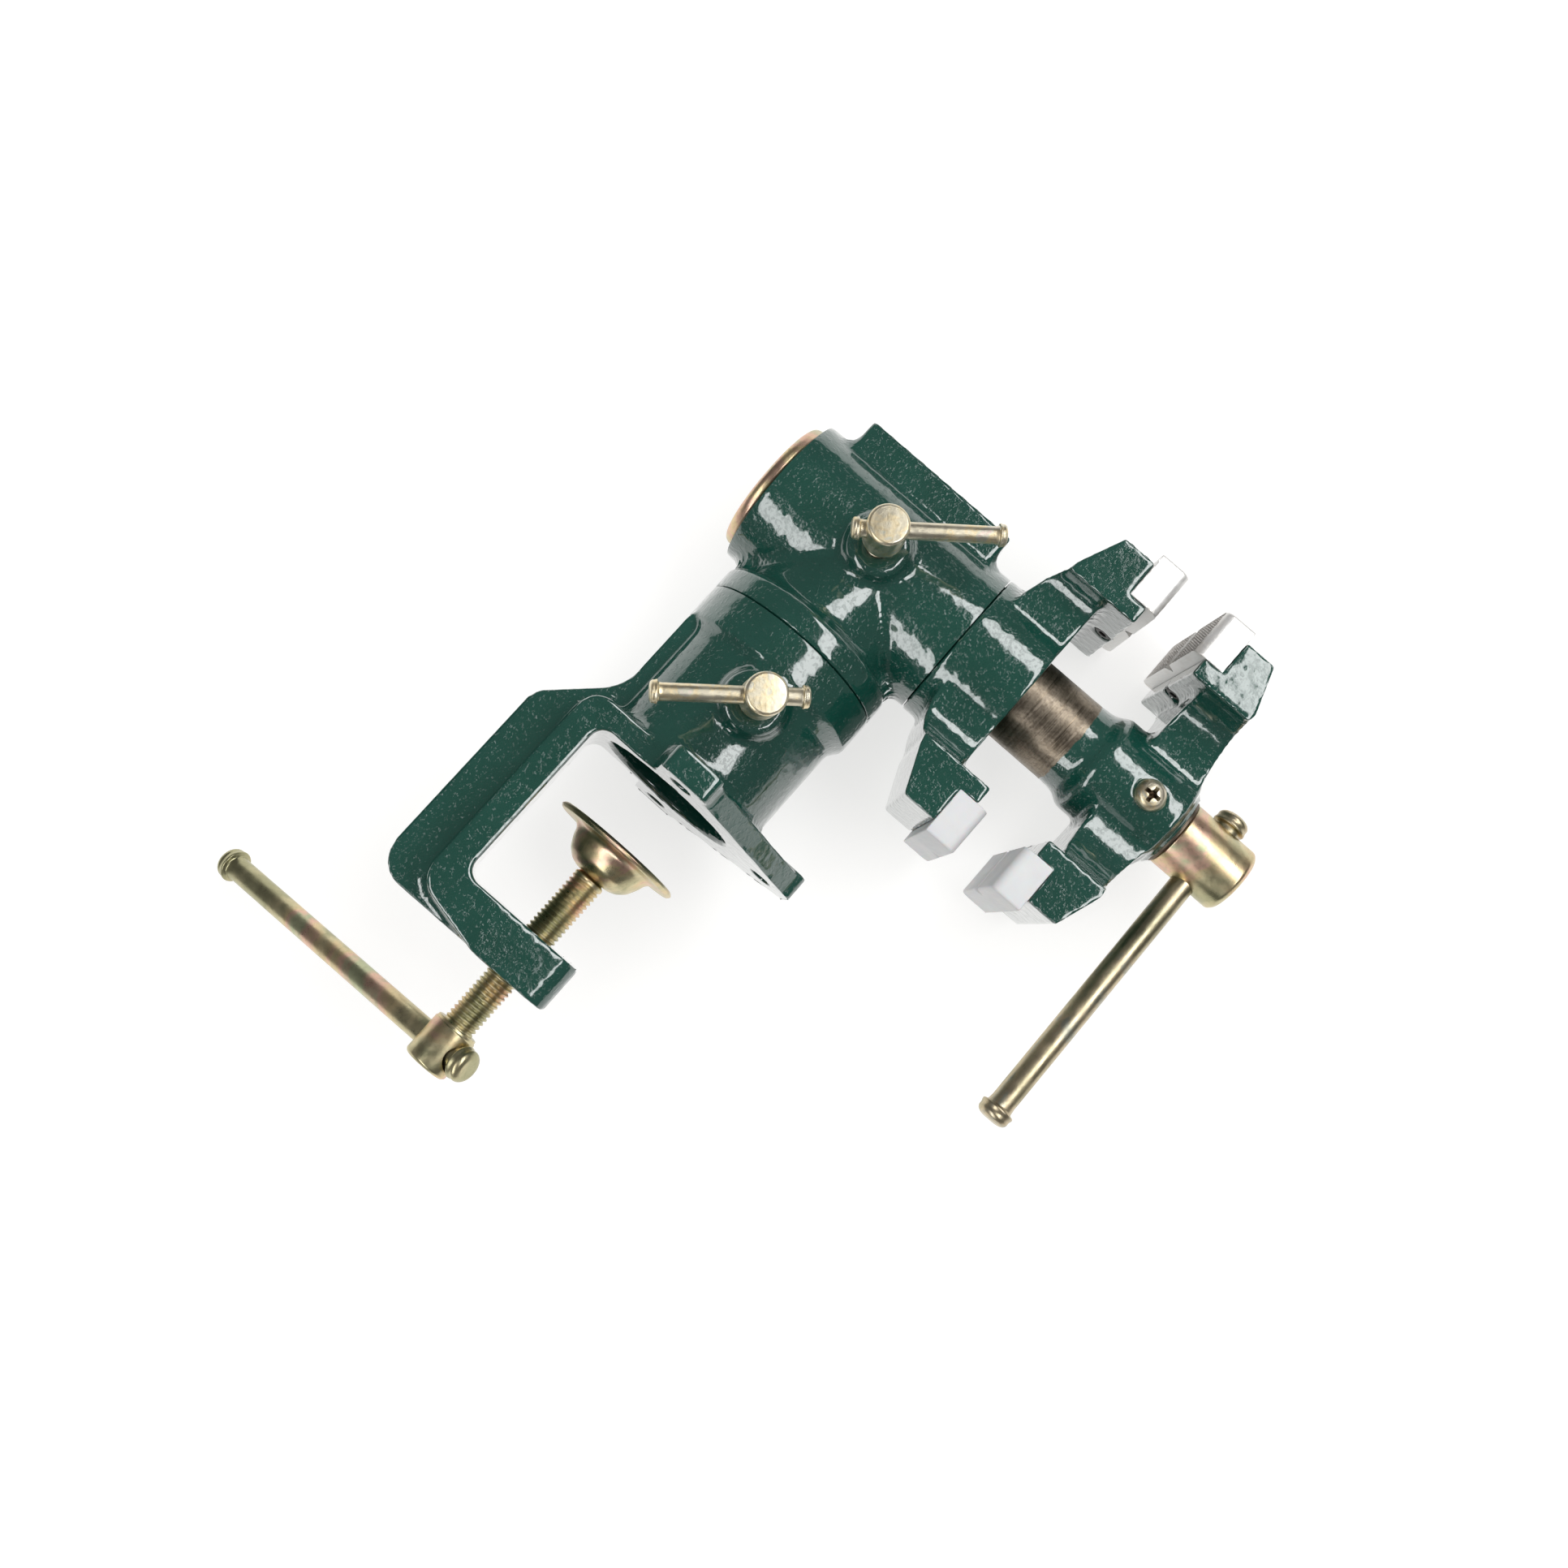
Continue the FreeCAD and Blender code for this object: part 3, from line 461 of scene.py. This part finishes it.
def make_paint_and_slide(end, turn):
    """Enamel on the casting and bare turned metal on its slide, with a ragged paint edge.
    end is where the bare metal ends along the barrel, which is turned by turn about Z."""
    f = Finish("green_enamel_and_slide", **PAINT_COAT)
    colour, rough, normal = paint_parts(f)
    along = f.stretched((1, 1, 1), (0, 0, -turn))
    x = f.add("ShaderNodeSeparateXYZ", Vector=along).outputs[0]
    edge = f.maths("ADD", x, f.spread(f.noise(260, 3), 0.3, 0.7, -0.00035, 0.00035))
    painted = f.spread(edge, end - 0.00012, end + 0.00012)
    lines = f.noise(1.0, 3, 0.6, f.stretched((2600, 60, 60), (0, 0, -turn)))
    patches = f.noise(90, 4, 0.6)
    metal = f.blend(f.spread(lines, 0.32, 0.68), (0.20, 0.165, 0.12), (0.34, 0.29, 0.23))
    metal = f.blend(f.spread(f.noise(1100, 3, 0.6), 0.45, 0.65, 0, 0.6), metal, (0.12, 0.095, 0.07))
    metal = f.blend(f.spread(patches, 0.45, 0.75, 0, 0.6), metal, (0.10, 0.075, 0.05))
    metal_rough = f.spread(lines, 0.3, 0.7, 0.26, 0.44)
    metal_normal = f.relief(lines, 0.00003)
    normal_mix = f.add("ShaderNodeMix", {"data_type": "VECTOR"}, i0=painted)
    f.tree.links.new(metal_normal, normal_mix.inputs[4])
    f.tree.links.new(normal, normal_mix.inputs[5])
    rough_mix = f.add("ShaderNodeMix", i0=painted)
    f.tree.links.new(metal_rough, rough_mix.inputs[2])
    f.tree.links.new(rough, rough_mix.inputs[3])
    return f.set(
        Base_Color=f.blend(painted, metal, colour), Roughness=rough_mix.outputs[0],
        Metallic=f.maths("SUBTRACT", 1.0, painted), Normal=normal_mix.outputs[1],
        Coat_Weight=painted)


def make_zinc(name, stops, streak, grain, rough, cloud=38):
    """Chromated zinc plate: colour that wanders like an oil film, over drawn steel."""
    f = Finish(name, Metallic=1.0)
    film = f.noise(cloud, 3, 0.55, distortion=1.2)
    drawn = f.noise(1.0, 4, 0.6, f.stretched(streak))
    film = f.maths("ADD", film, f.spread(drawn, 0.3, 0.7, -0.08, 0.08))
    colour = f.ramp(film, *stops)
    fine = f.noise(900, 4, 0.6)
    colour = f.blend(f.spread(fine, 0.5, 0.8, 0, 0.35), colour, (0.20, 0.17, 0.10))
    # Painted shade: points marked as lying deep in a recess turn near black, standing in for the shade that
    # falls inside it.
    painted_groove_shade = f.add("ShaderNodeAttribute", {"attribute_name": "painted_groove_shade"}).outputs["Fac"]
    colour = f.blend(painted_groove_shade, colour, (0.045, 0.030, 0.018))
    normal = f.relief(fine, grain)
    normal = f.relief(f.noise(160, 2), grain * 2.5, normal)
    roughness = f.spread(f.noise(240, 3), 0.3, 0.7, rough[0], rough[1])
    return f.set(Base_Color=colour, Roughness=roughness, Normal=normal)


YELLOW = ((0.34, (0.42, 0.40, 0.24)), (0.44, (0.62, 0.55, 0.34)), (0.52, (0.70, 0.56, 0.33)),
          (0.58, (0.76, 0.50, 0.38)), (0.66, (0.50, 0.52, 0.33)))
GREYED = ((0.32, (0.36, 0.33, 0.22)), (0.45, (0.52, 0.46, 0.30)), (0.55, (0.60, 0.50, 0.34)),
          (0.62, (0.44, 0.43, 0.34)), (0.72, (0.34, 0.34, 0.30)))
PALE = ((0.30, (0.74, 0.68, 0.54)), (0.45, (0.80, 0.73, 0.56)), (0.56, (0.86, 0.72, 0.46)),
        (0.64, (0.72, 0.70, 0.58)), (0.74, (0.78, 0.64, 0.56)))


def make_jaw_steel():
    f = Finish("machined_jaw_steel", Metallic=0.75)
    # Painted shade: points marked deep in the knurl's cuts turn dark brown, standing in for the shade inside the
    # cuts.
    painted_groove_shade = f.add("ShaderNodeAttribute", {"attribute_name": "painted_groove_shade"}).outputs["Fac"]
    brushed = f.noise(1.0, 3, 0.6, f.stretched((900, 60, 900)))
    colour = f.blend(f.spread(brushed, 0.3, 0.7), (0.80, 0.79, 0.77), (0.90, 0.89, 0.87))
    colour = f.blend(f.spread(f.noise(150, 4), 0.55, 0.75, 0, 0.35), colour, (0.55, 0.47, 0.38))
    colour = f.blend(painted_groove_shade, colour, (0.10, 0.066, 0.042))
    rough = f.spread(brushed, 0.3, 0.7, 0.38, 0.52)
    return f.set(Base_Color=colour, Roughness=rough, Normal=f.relief(brushed, 0.00002))


def make_nylon():
    f = Finish("white_nylon", Subsurface_Weight=0.25, Subsurface_Scale=0.0015, IOR=1.5)
    cloud = f.noise(70, 3)
    colour = f.blend(f.spread(cloud, 0.3, 0.7), (0.60, 0.61, 0.62), (0.67, 0.67, 0.67))
    colour = f.blend(f.spread(f.noise(420, 4, 0.7), 0.62, 0.80, 0, 0.25), colour, (0.50, 0.49, 0.47))
    tool_marks = f.noise(1.0, 2, 0.5, f.stretched((1400, 90, 300)))
    return f.set(Base_Color=colour, Roughness=f.spread(tool_marks, 0.3, 0.7, 0.42, 0.58),
                 Normal=f.relief(tool_marks, 0.00004))


def make_plain_metal(name, dark, light, rough, scale=300):
    f = Finish(name, Metallic=1.0)
    grain = f.noise(scale, 4, 0.6)
    colour = f.blend(f.spread(grain, 0.3, 0.7), dark, light)
    return f.set(Base_Color=colour, Roughness=f.spread(grain, 0.3, 0.7, *rough),
                 Normal=f.relief(grain, 0.00003))


SWIVEL = math.atan2(joint_axis("head_roll").y, joint_axis("head_roll").x)
ENAMEL = make_paint()
YELLOW_ZINC = make_zinc("yellow_zinc", YELLOW, (70, 70, 70), 0.00002, (0.26, 0.42))
BAR_ZINC = make_zinc("yellow_zinc_bar", GREYED, (500, 500, 16), 0.00003, (0.28, 0.44))
CLAMP_BAR_ZINC = make_zinc("yellow_zinc_clamp_bar", YELLOW, (60, 60, 60), 0.00002, (0.26, 0.42), 26)
PALE_ZINC = make_zinc("pale_zinc", PALE, (200, 200, 200), 0.00005, (0.30, 0.46), 120)
JAW_STEEL = make_jaw_steel()
NYLON = make_nylon()
BRONZE = make_plain_metal("turned_bronze", (0.42, 0.24, 0.09), (0.60, 0.40, 0.18), (0.28, 0.45))
BLACK_STEEL = make_plain_metal("black_oxide_steel", (0.03, 0.03, 0.03), (0.07, 0.065, 0.06), (0.35, 0.5))
DARK_STEEL = make_plain_metal("dark_washer_steel", (0.10, 0.08, 0.06), (0.20, 0.16, 0.12), (0.35, 0.5))


# ------------------------------------------------------------------ castings
def stretched_at(mesh, where, along, distance):
    """Moves the points of one machined face outwards, so that it can be cut back sharply later."""
    co = points(mesh)
    local = co @ np.array(where.inverted().to_3x3()).T + np.array(where.inverted().translation)
    move = np.array((where.to_3x3() @ Vector((1, 0, 0))).normalized()) * distance * MM
    co[np.abs(local[:, 0] - along) < 0.02] += move
    set_points(mesh, co)
    return mesh


def faced_off(mesh, where, along, inside):
    """Cuts the mesh flat where x is along in a local frame. inside is +1 to keep the lower x."""
    bm = bmesh.new()
    bm.from_mesh(mesh)
    normal = (where.to_3x3() @ Vector((1, 0, 0))).normalized() * inside
    cut = bmesh.ops.bisect_plane(
        bm, geom=[*bm.verts, *bm.edges, *bm.faces], dist=1e-7, plane_co=where @ Vector((along, 0, 0)),
        plane_no=normal, clear_outer=True)
    edges = [item for item in cut["geom_cut"] if isinstance(item, bmesh.types.BMEdge)]
    bmesh.ops.bridge_loops(bm, edges=edges)
    bmesh.ops.recalc_face_normals(bm, faces=bm.faces)
    made = bpy.data.meshes.new("faced")
    bm.to_mesh(made)
    bm.free()
    return made


def casting(node, fillet, faces=()):
    """The CAD casting with cast fillets in its corners, worn edges and a rippled skin.
    faces are its machined ends, as (local frame, place along it, side to keep)."""
    source = welded(nodes[node].data)
    area = sum(polygon.area for polygon in source.polygons)
    voxel = math.sqrt(area / QUADS)
    for where, along, inside in faces:
        source = stretched_at(source, where, along, 3 * inside)
    mesh = relaxed(voxeled(source, voxel), 2)
    mesh = pushed(mesh, fillet * MM)
    mesh = relaxed(voxeled(mesh, voxel), 2)
    mesh = relaxed(pushed(mesh, -fillet * MM), 2)
    skin = bpy.data.textures.new(node + "_skin", "CLOUDS")
    skin.noise_scale = 0.0026
    skin.noise_depth = 1
    mesh = applied(mesh, "DISPLACE", texture=skin, texture_coords="LOCAL", mid_level=0.0, strength=-0.00010)
    for where, along, inside in faces:
        mesh = faced_off(mesh, where, along, inside)
    return smooth(mesh, 50 if faces else 180)


piece("base_casting_enamelled", casting("base_casting", CASTING_FILLET, [(SWIVEL_AXIS, BASE_TOP, 1)]),
      "base_casting", ENAMEL)
piece("elbow_casting_enamelled",
      casting("elbow_casting", CASTING_FILLET, [(BARREL, SLEEVE_FRONT, 1), (BARREL, SLEEVE_BACK, -1)]),
      "elbow_casting", ENAMEL)
piece("fixed_jaw_enamelled", casting("fixed_jaw", JAW_FILLET), "fixed_jaw", ENAMEL)
piece("moving_jaw_enamelled", casting("moving_jaw", JAW_FILLET), "moving_jaw",
      make_paint_and_slide(NECK_X * MM, SWIVEL))


# ------------------------------------------------------------------ clamp
def clamp_pieces():
    pad_top, dome = high("clamp_pad", 2), low("clamp_pad", 2)
    pad_r = high("clamp_pad", 0)
    rim = pad_top - 1.9
    profile = [
        (pad_top, pad_r - 0.7), (pad_top, 12.8), (-23.2, 11.6), (-26.4, 10.2), (-29.2, 8.0), (-30.7, 5.0),
        (-30.9, 4.2), (dome, 4.2), (dome, 5.6), (-31.6, 8.2), (-29.6, 10.6), (-26.6, 12.2), (-24.2, 13.0),
        (rim - 0.4, 14.2), (rim, 16.4), (rim, pad_r - 0.7), (rim + 0.9, pad_r), (pad_top - 0.8, pad_r),
    ]
    profile = soften(profile + profile[:2], 0.8)[1:-1]
    pad = ring_of(profile, 128)
    piece("clamp_pad_pressed", moved(pad, SWIVEL_AXIS), "clamp_pad", YELLOW_ZINC)

    head_low, tip = low("clamp_screw", 2), high("clamp_screw", 2)
    head_top = head_low + 14.0
    head = lathe(soften([
        (head_low, 0), (head_low, 6.2), (head_low + 0.8, 7.0), (head_top - 1.1, 7.0), (head_top - 0.9, 6.7),
        (head_top, 6.6), (head_top, 0)], 0.35), 96)
    bar_axis = joint_axis("clamp_bar_slide")
    flat = SWIVEL_AXIS.inverted().to_3x3() @ Vector((bar_axis.x, bar_axis.y, 0))
    flat = flat.normalized() * 9
    centre = Vector((head_low + 7.0, 0, 0))
    head = drilled(head, rod(4.3, centre - flat, centre + flat))
    thread = (head_top - 0.4, dome - 1.1, CLAMP_PITCH, 0.72)
    shank = lathe(soften([
        (head_top - 0.6, 0), (head_top - 0.6, 5.0), (dome - 0.9, 5.0), (dome - 0.2, 4.0), (-30.5, 3.9),
        (-28.8, 6.0), (-26.6, 6.0), (tip, 4.2), (tip, 0)], 0.3), 72, thread)
    screw = moved(joined(head, shank), SWIVEL_AXIS)
    piece("clamp_screw_threaded", screw, "clamp_screw", YELLOW_ZINC)

    bar = moved(knobbed_bar(*BIG_BAR), place(middle("clamp_bar"), bar_axis))
    piece("clamp_bar_upset", bar, "clamp_bar", CLAMP_BAR_ZINC)


clamp_pieces()


# ------------------------------------------------------------------ lock screws
def lock_pieces(prefix, turn, slide):
    """A lock screw, turned about its joint's axis, and its bar."""
    origin = joint_point(turn)
    out = joint_axis(turn)
    tip = -reach_of(prefix + "_lock_screw", origin, -out)
    frame_here = place(origin, out)
    bar_axis = joint_axis(slide)
    face = reach_of(prefix + "_lock_screw", origin, out)
    across = frame_here.inverted().to_3x3() @ bar_axis
    across = across.normalized() * 8
    head = lathe(soften([
        (face, 0), (face, 5.2), (face - 0.25, 5.6), (face - 0.8, 6.0), (face - 12.2, 6.0), (face - 12.5, 5.7),
        (face - 13.0, 5.8), (face - 13.0, 0)], 0.3), 96)
    centre = Vector((face - 5.5, 0, 0))
    head = drilled(head, rod(2.58, centre - across, centre + across, 48))
    collar = face - 13.0
    shank = lathe(soften([
        (tip, 0), (tip, 2.5), (tip + 3.0, 2.7), (tip + 4.0, 3.95), (collar + 0.5, 3.95), (collar + 0.5, 0)],
        0.2), 64, (tip + 4.4, collar - 0.2, LOCK_PITCH, 0.6))
    screw = moved(joined(head, shank), frame_here)
    piece(prefix + "_lock_screw_turned", screw, prefix + "_lock_screw", PALE_ZINC)
    bar = moved(knobbed_bar(*LOCK_BAR), place(middle(prefix + "_lock_bar"), bar_axis, out))
    piece(prefix + "_lock_bar_upset", bar, prefix + "_lock_bar", PALE_ZINC)


lock_pieces("base", "base_lock_turn", "base_lock_bar_slide")
lock_pieces("barrel", "barrel_lock_turn", "barrel_lock_bar_slide")


# ------------------------------------------------------------------ barrel pieces
def cross_recess(x, reach, depth, width):
    """Two tapered slots that meet in a cross, opening towards local +X at x."""
    meshes = []
    for turn in (0, math.pi / 2):
        co = []
        for at, grow in ((x + 0.6, 1.12), (x - depth, 0.42)):
            for sy, sz in ((-1, -1), (1, -1), (1, 1), (-1, 1)):
                co.append((at, sy * reach * grow, sz * width * (0.62 + 0.38 * grow)))
        mesh = bpy.data.meshes.new("cross")
        faces = [(0, 3, 2, 1), (4, 5, 6, 7), (0, 1, 5, 4), (1, 2, 6, 5), (2, 3, 7, 6), (3, 0, 4, 7)]
        mesh.from_pydata(co, [], faces)
        meshes.append(moved(outward(mesh), Matrix.Rotation(turn, 4, "X")))
    point = lathe([
        (x - depth * 1.25, 0), (x - depth * 0.7, width * 1.1), (x + 0.6, width * 2.1), (x + 0.6, 0)], 24)
    return [*meshes, point]


def lead_screw():
    x0, x1 = 119.8, 142.8
    head = lathe(soften([
        (x0, 0), (x0, 10.4), (x0 + 0.4, 10.8), (x1 - 1.4, 10.8), (x1, 9.3), (x1, 0)], 0.7), 128)
    middle_x = (x0 + x1) / 2
    head = drilled(head, rod(3.9, (middle_x, 0, -13), (middle_x, 0, 13)))
    shank = lathe(soften([
        (-19.0, 0), (-19.0, 5.0), (-18.0, 6.0), (102.6, 6.0), (102.7, 4.6), (107.3, 4.6), (107.4, 6.0),
        (x0 + 0.5, 6.0), (x0 + 0.5, 0)], 0.2), 64, (-17.0, 84.0, LEAD_PITCH, 1.3))
    piece("lead_screw_threaded", moved(joined(head, shank), BARREL), "lead_screw", YELLOW_ZINC)
    bar = moved(knobbed_bar(*BIG_BAR), place(middle("spindle_bar"), UP, (1, 0, 0)))
    piece("spindle_bar_upset", bar, "spindle_bar", BAR_ZINC)


def rear_pieces():
    front, back = -35.2, -39.2
    disc = lathe(soften([
        (back, 0), (back, 19.4), (back + 0.5, 20.8), (back + 1.7, 21.5), (front - 0.7, 21.5), (front, 20.8),
        (front, 19.6), (front + 0.2, 19.6), (front + 0.2, 0)], 0.6), 160)
    seats, screws = [], []
    for turn in (90, 210, 330):
        spin = Matrix.Rotation(math.radians(turn), 4, "X") @ Matrix.Translation((0, 0, 17.1))
        seats.append(moved(lathe([
            (back - 0.5, 0), (back - 0.5, 2.5), (back + 0.2, 2.5), (back + 1.2, 1.5), (front + 0.5, 1.5),
            (front + 0.5, 0)], 40), spin))
        shape = lathe(soften([
            (back + 0.02, 0), (back + 0.02, 2.3), (back + 0.22, 2.38), (back + 1.2, 1.4), (back + 13.8, 1.35),
            (back + 14.0, 0)], 0.12), 48)
        flip = Matrix.Rotation(math.pi, 4, "Z")
        seat = flip @ Matrix.Translation((-back + 0.02, 0, 0))
        tools = [moved(tool, seat) for tool in cross_recess(0, 1.25, 0.9, 0.3)]
        screws.append(moved(drilled(shape, *tools), spin))
    piece("rear_disc_domed", moved(drilled(disc, *seats), HEAD), "rear_disc", YELLOW_ZINC)
    piece("rear_disc_screws_cut", moved(joined(*screws), HEAD), "rear_disc_screws", PALE_ZINC)


def retaining_screw():
    seat, head_h = 16.4, 3.2
    spot = HEAD @ Vector((SCREW_X, 0, 0))
    away = (HEAD.to_3x3() @ Vector((0, -1, 0))).normalized()
    shape = lathe(soften([
        (5.0, 0), (5.0, 1.7), (7.4, 1.9), (8.2, 2.45), (seat, 2.45), (seat, 4.5), (seat + 0.5, 4.75),
        (seat + head_h * 0.48, 4.5), (seat + head_h * 0.82, 3.5), (seat + head_h, 1.9), (seat + head_h, 0)],
        0.5), 80)
    shape = drilled(shape, *cross_recess(seat + head_h, 2.75, 2.3, 0.66))
    # Painted shade: the points deep inside the cross recess are marked, so the zinc there is painted near black
    # as the shade inside the recess.
    co = points(shape)
    off_axis = np.hypot(co[:, 1], co[:, 2])
    below_dome = seat + head_h - 2.0 * (off_axis / 4.75) ** 2 - co[:, 0]
    inside = (below_dome > 0.35) & (co[:, 0] > seat) & (off_axis < 3.2)
    painted_groove_shade = shape.attributes.new("painted_groove_shade", "FLOAT", "POINT")
    painted_groove_shade.data.foreach_set("value", inside.astype(np.float32))
    shape = moved(shape, place(spot, away))
    piece("lead_screw_retainer_cut", shape, "lead_screw_retainer", PALE_ZINC)


lead_screw()
rear_pieces()
retaining_screw()


# ------------------------------------------------------------------ jaws
def steel_plate(node, facing):
    """The steel jaw with a diamond pattern cut into its face. facing is +1 or -1 along the barrel."""
    mesh = relaxed(voxeled(welded(nodes[node].data), 0.23 * MM), 2)
    mesh.transform(HEAD.inverted())
    co, n = points(mesh), normals(mesh)
    face_x = co[:, 0].max() if facing > 0 else co[:, 0].min()
    on_face = (n[:, 0] * facing > 0.9) & (np.abs(co[:, 0] - face_x) < 0.2)
    u = (co[:, 1] + co[:, 2]) / math.sqrt(2) / KNURL_PITCH
    v = (co[:, 1] - co[:, 2]) / math.sqrt(2) / KNURL_PITCH
    peak = np.minimum(np.abs(u % 1 - 0.5), np.abs(v % 1 - 0.5)) * 2
    cut = np.where(on_face, 1 - peak, 0) ** 0.9
    co[:, 0] -= facing * KNURL_DEPTH * cut
    set_points(mesh, co)
    mesh.transform(HEAD)
    # Painted shade: the depth of each cut sets how dark the steel is painted there, as the shade inside the
    # knurl.
    painted_groove_shade = mesh.attributes.new("painted_groove_shade", "FLOAT", "POINT")
    painted_groove_shade.data.foreach_set("value", np.minimum(cut ** 1.2 * 1.1, 1).astype(np.float32))
    piece(node + "_knurled", smooth(mesh, 30), node, JAW_STEEL)


def soft_jaw(node):
    mesh = relaxed(voxeled(welded(nodes[node].data), 0.3 * MM), 8)
    piece(node + "_moulded", smooth(mesh), node, NYLON)


steel_plate("fixed_steel_plate", 1)
steel_plate("moving_steel_plate", -1)
soft_jaw("fixed_soft_jaw")
soft_jaw("moving_soft_jaw")


# ------------------------------------------------------------------ small pieces kept from the CAD
def bevelled(node, width, material):
    mesh = applied(welded(nodes[node].data), "BEVEL", width=width * MM, segments=2, limit_method="ANGLE",
                   angle_limit=math.radians(30))
    piece(node + "_broken_edges", smooth(mesh, 40), node, material)


for name in ("fixed_plate_screw", "fixed_soft_jaw_screw", "moving_plate_screw", "moving_soft_jaw_screw"):
    bevelled(name, 0.12, BLACK_STEEL)
bevelled("thrust_washer", 0.15, DARK_STEEL)
bevelled("lead_nut", 0.25, BRONZE)
bevelled("lead_nut_screw", 0.12, BLACK_STEEL)


# ------------------------------------------------------------------ camera
PITCH = math.radians(9.0)            # the camera looks up along the swivel axis by this much
YAW = math.radians(-5.0)             # and to the side by this much
TURN = math.radians(41.45)           # the object lies turned clockwise in the view
DISTANCE = 0.4772
AIM = Vector((0.02365, 0, 0.0254))
FOCAL = 2000 / 1932 * 36

forward = Vector((-math.sin(YAW) * math.cos(PITCH), math.cos(YAW) * math.cos(PITCH), math.sin(PITCH)))
level = forward.cross(UP).normalized()
plumb = level.cross(forward)
right = level * math.cos(TURN) + plumb * math.sin(TURN)
up = plumb * math.cos(TURN) - level * math.sin(TURN)
camera = bpy.data.objects.new("camera", bpy.data.cameras.new("camera"))
scene.collection.objects.link(camera)
camera.data.lens = FOCAL
camera.data.sensor_width = 36
view = Matrix((right, up, -forward)).transposed().to_4x4()
view.translation = AIM - forward * DISTANCE
camera.matrix_world = view
scene.camera = camera


# ------------------------------------------------------------------ stage
def stage_floor():
    """A pale surface that the vise lies on, seen through from behind."""
    reach = max(obj.matrix_world @ vertex.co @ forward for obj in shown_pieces() for vertex in obj.data.vertices)
    half = 1.6
    co = [right * x * half + up * y * half for x, y in ((-1, -1), (1, -1), (1, 1), (-1, 1))]
    mesh = bpy.data.meshes.new("floor")
    mesh.from_pydata(co, [], [(0, 1, 2, 3)])
    floor = link("floor", mesh)
    floor.location = AIM - forward * (AIM @ forward) + forward * (reach + 0.0005)
    material = bpy.data.materials.new("floor_white")
    material.use_nodes = True
    tree = material.node_tree
    shader = tree.nodes["Principled BSDF"]
    shader.inputs["Base Color"].default_value = (0.36, 0.358, 0.352, 1)
    shader.inputs["Emission Color"].default_value = (1.0, 0.995, 0.985, 1)
    shader.inputs["Emission Strength"].default_value = 0.72
    shader.inputs["Roughness"].default_value = 0.9
    shader.inputs["Specular IOR Level"].default_value = 0.0
    side = tree.nodes.new("ShaderNodeNewGeometry")
    clear = tree.nodes.new("ShaderNodeBsdfTransparent")
    mix = tree.nodes.new("ShaderNodeMixShader")
    tree.links.new(side.outputs["Backfacing"], mix.inputs[0])
    tree.links.new(shader.outputs[0], mix.inputs[1])
    tree.links.new(clear.outputs[0], mix.inputs[2])
    tree.links.new(mix.outputs[0], tree.nodes["Material Output"].inputs["Surface"])
    mesh.materials.append(material)
    floor.visible_shadow = False
    floor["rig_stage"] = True


def softbox(name, x, y, width, height, radiance):
    """An area light a metre from the vise. x and y turn it from the camera's side, in degrees,
    and width and height are the angles that it covers, in degrees too."""
    a, b = math.radians(x), math.radians(y)
    away = -forward * math.cos(a) * math.cos(b) + right * math.sin(a) * math.cos(b) + up * math.sin(b)
    across = (right - away * right.dot(away)).normalized()
    light = bpy.data.lights.new(name, "AREA")
    light.shape = "RECTANGLE"
    light.size = 2 * math.tan(math.radians(width / 2))
    light.size_y = 2 * math.tan(math.radians(height / 2))
    light.energy = radiance * math.pi * light.size * light.size_y
    obj = bpy.data.objects.new(name, light)
    scene.collection.objects.link(obj)
    matrix = Matrix((across, away.cross(across), away)).transposed().to_4x4()
    matrix.translation = AIM + away
    obj.matrix_world = matrix
    return obj


stage_floor()
softbox("softbox_right", 33, 8, 17, 58, 5.5)
softbox("softbox_left", -36, -22, 15, 56, 4.6)
fill = softbox("fill", 0, 25, 60, 60, 1.5)
fill.visible_glossy = False
world = bpy.data.worlds.new("room")
scene.world = world
world.use_nodes = True
world.node_tree.nodes["Background"].inputs[0].default_value = (1, 1, 1, 1)
world.node_tree.nodes["Background"].inputs[1].default_value = 0.12
scene.view_settings.view_transform = "Standard"
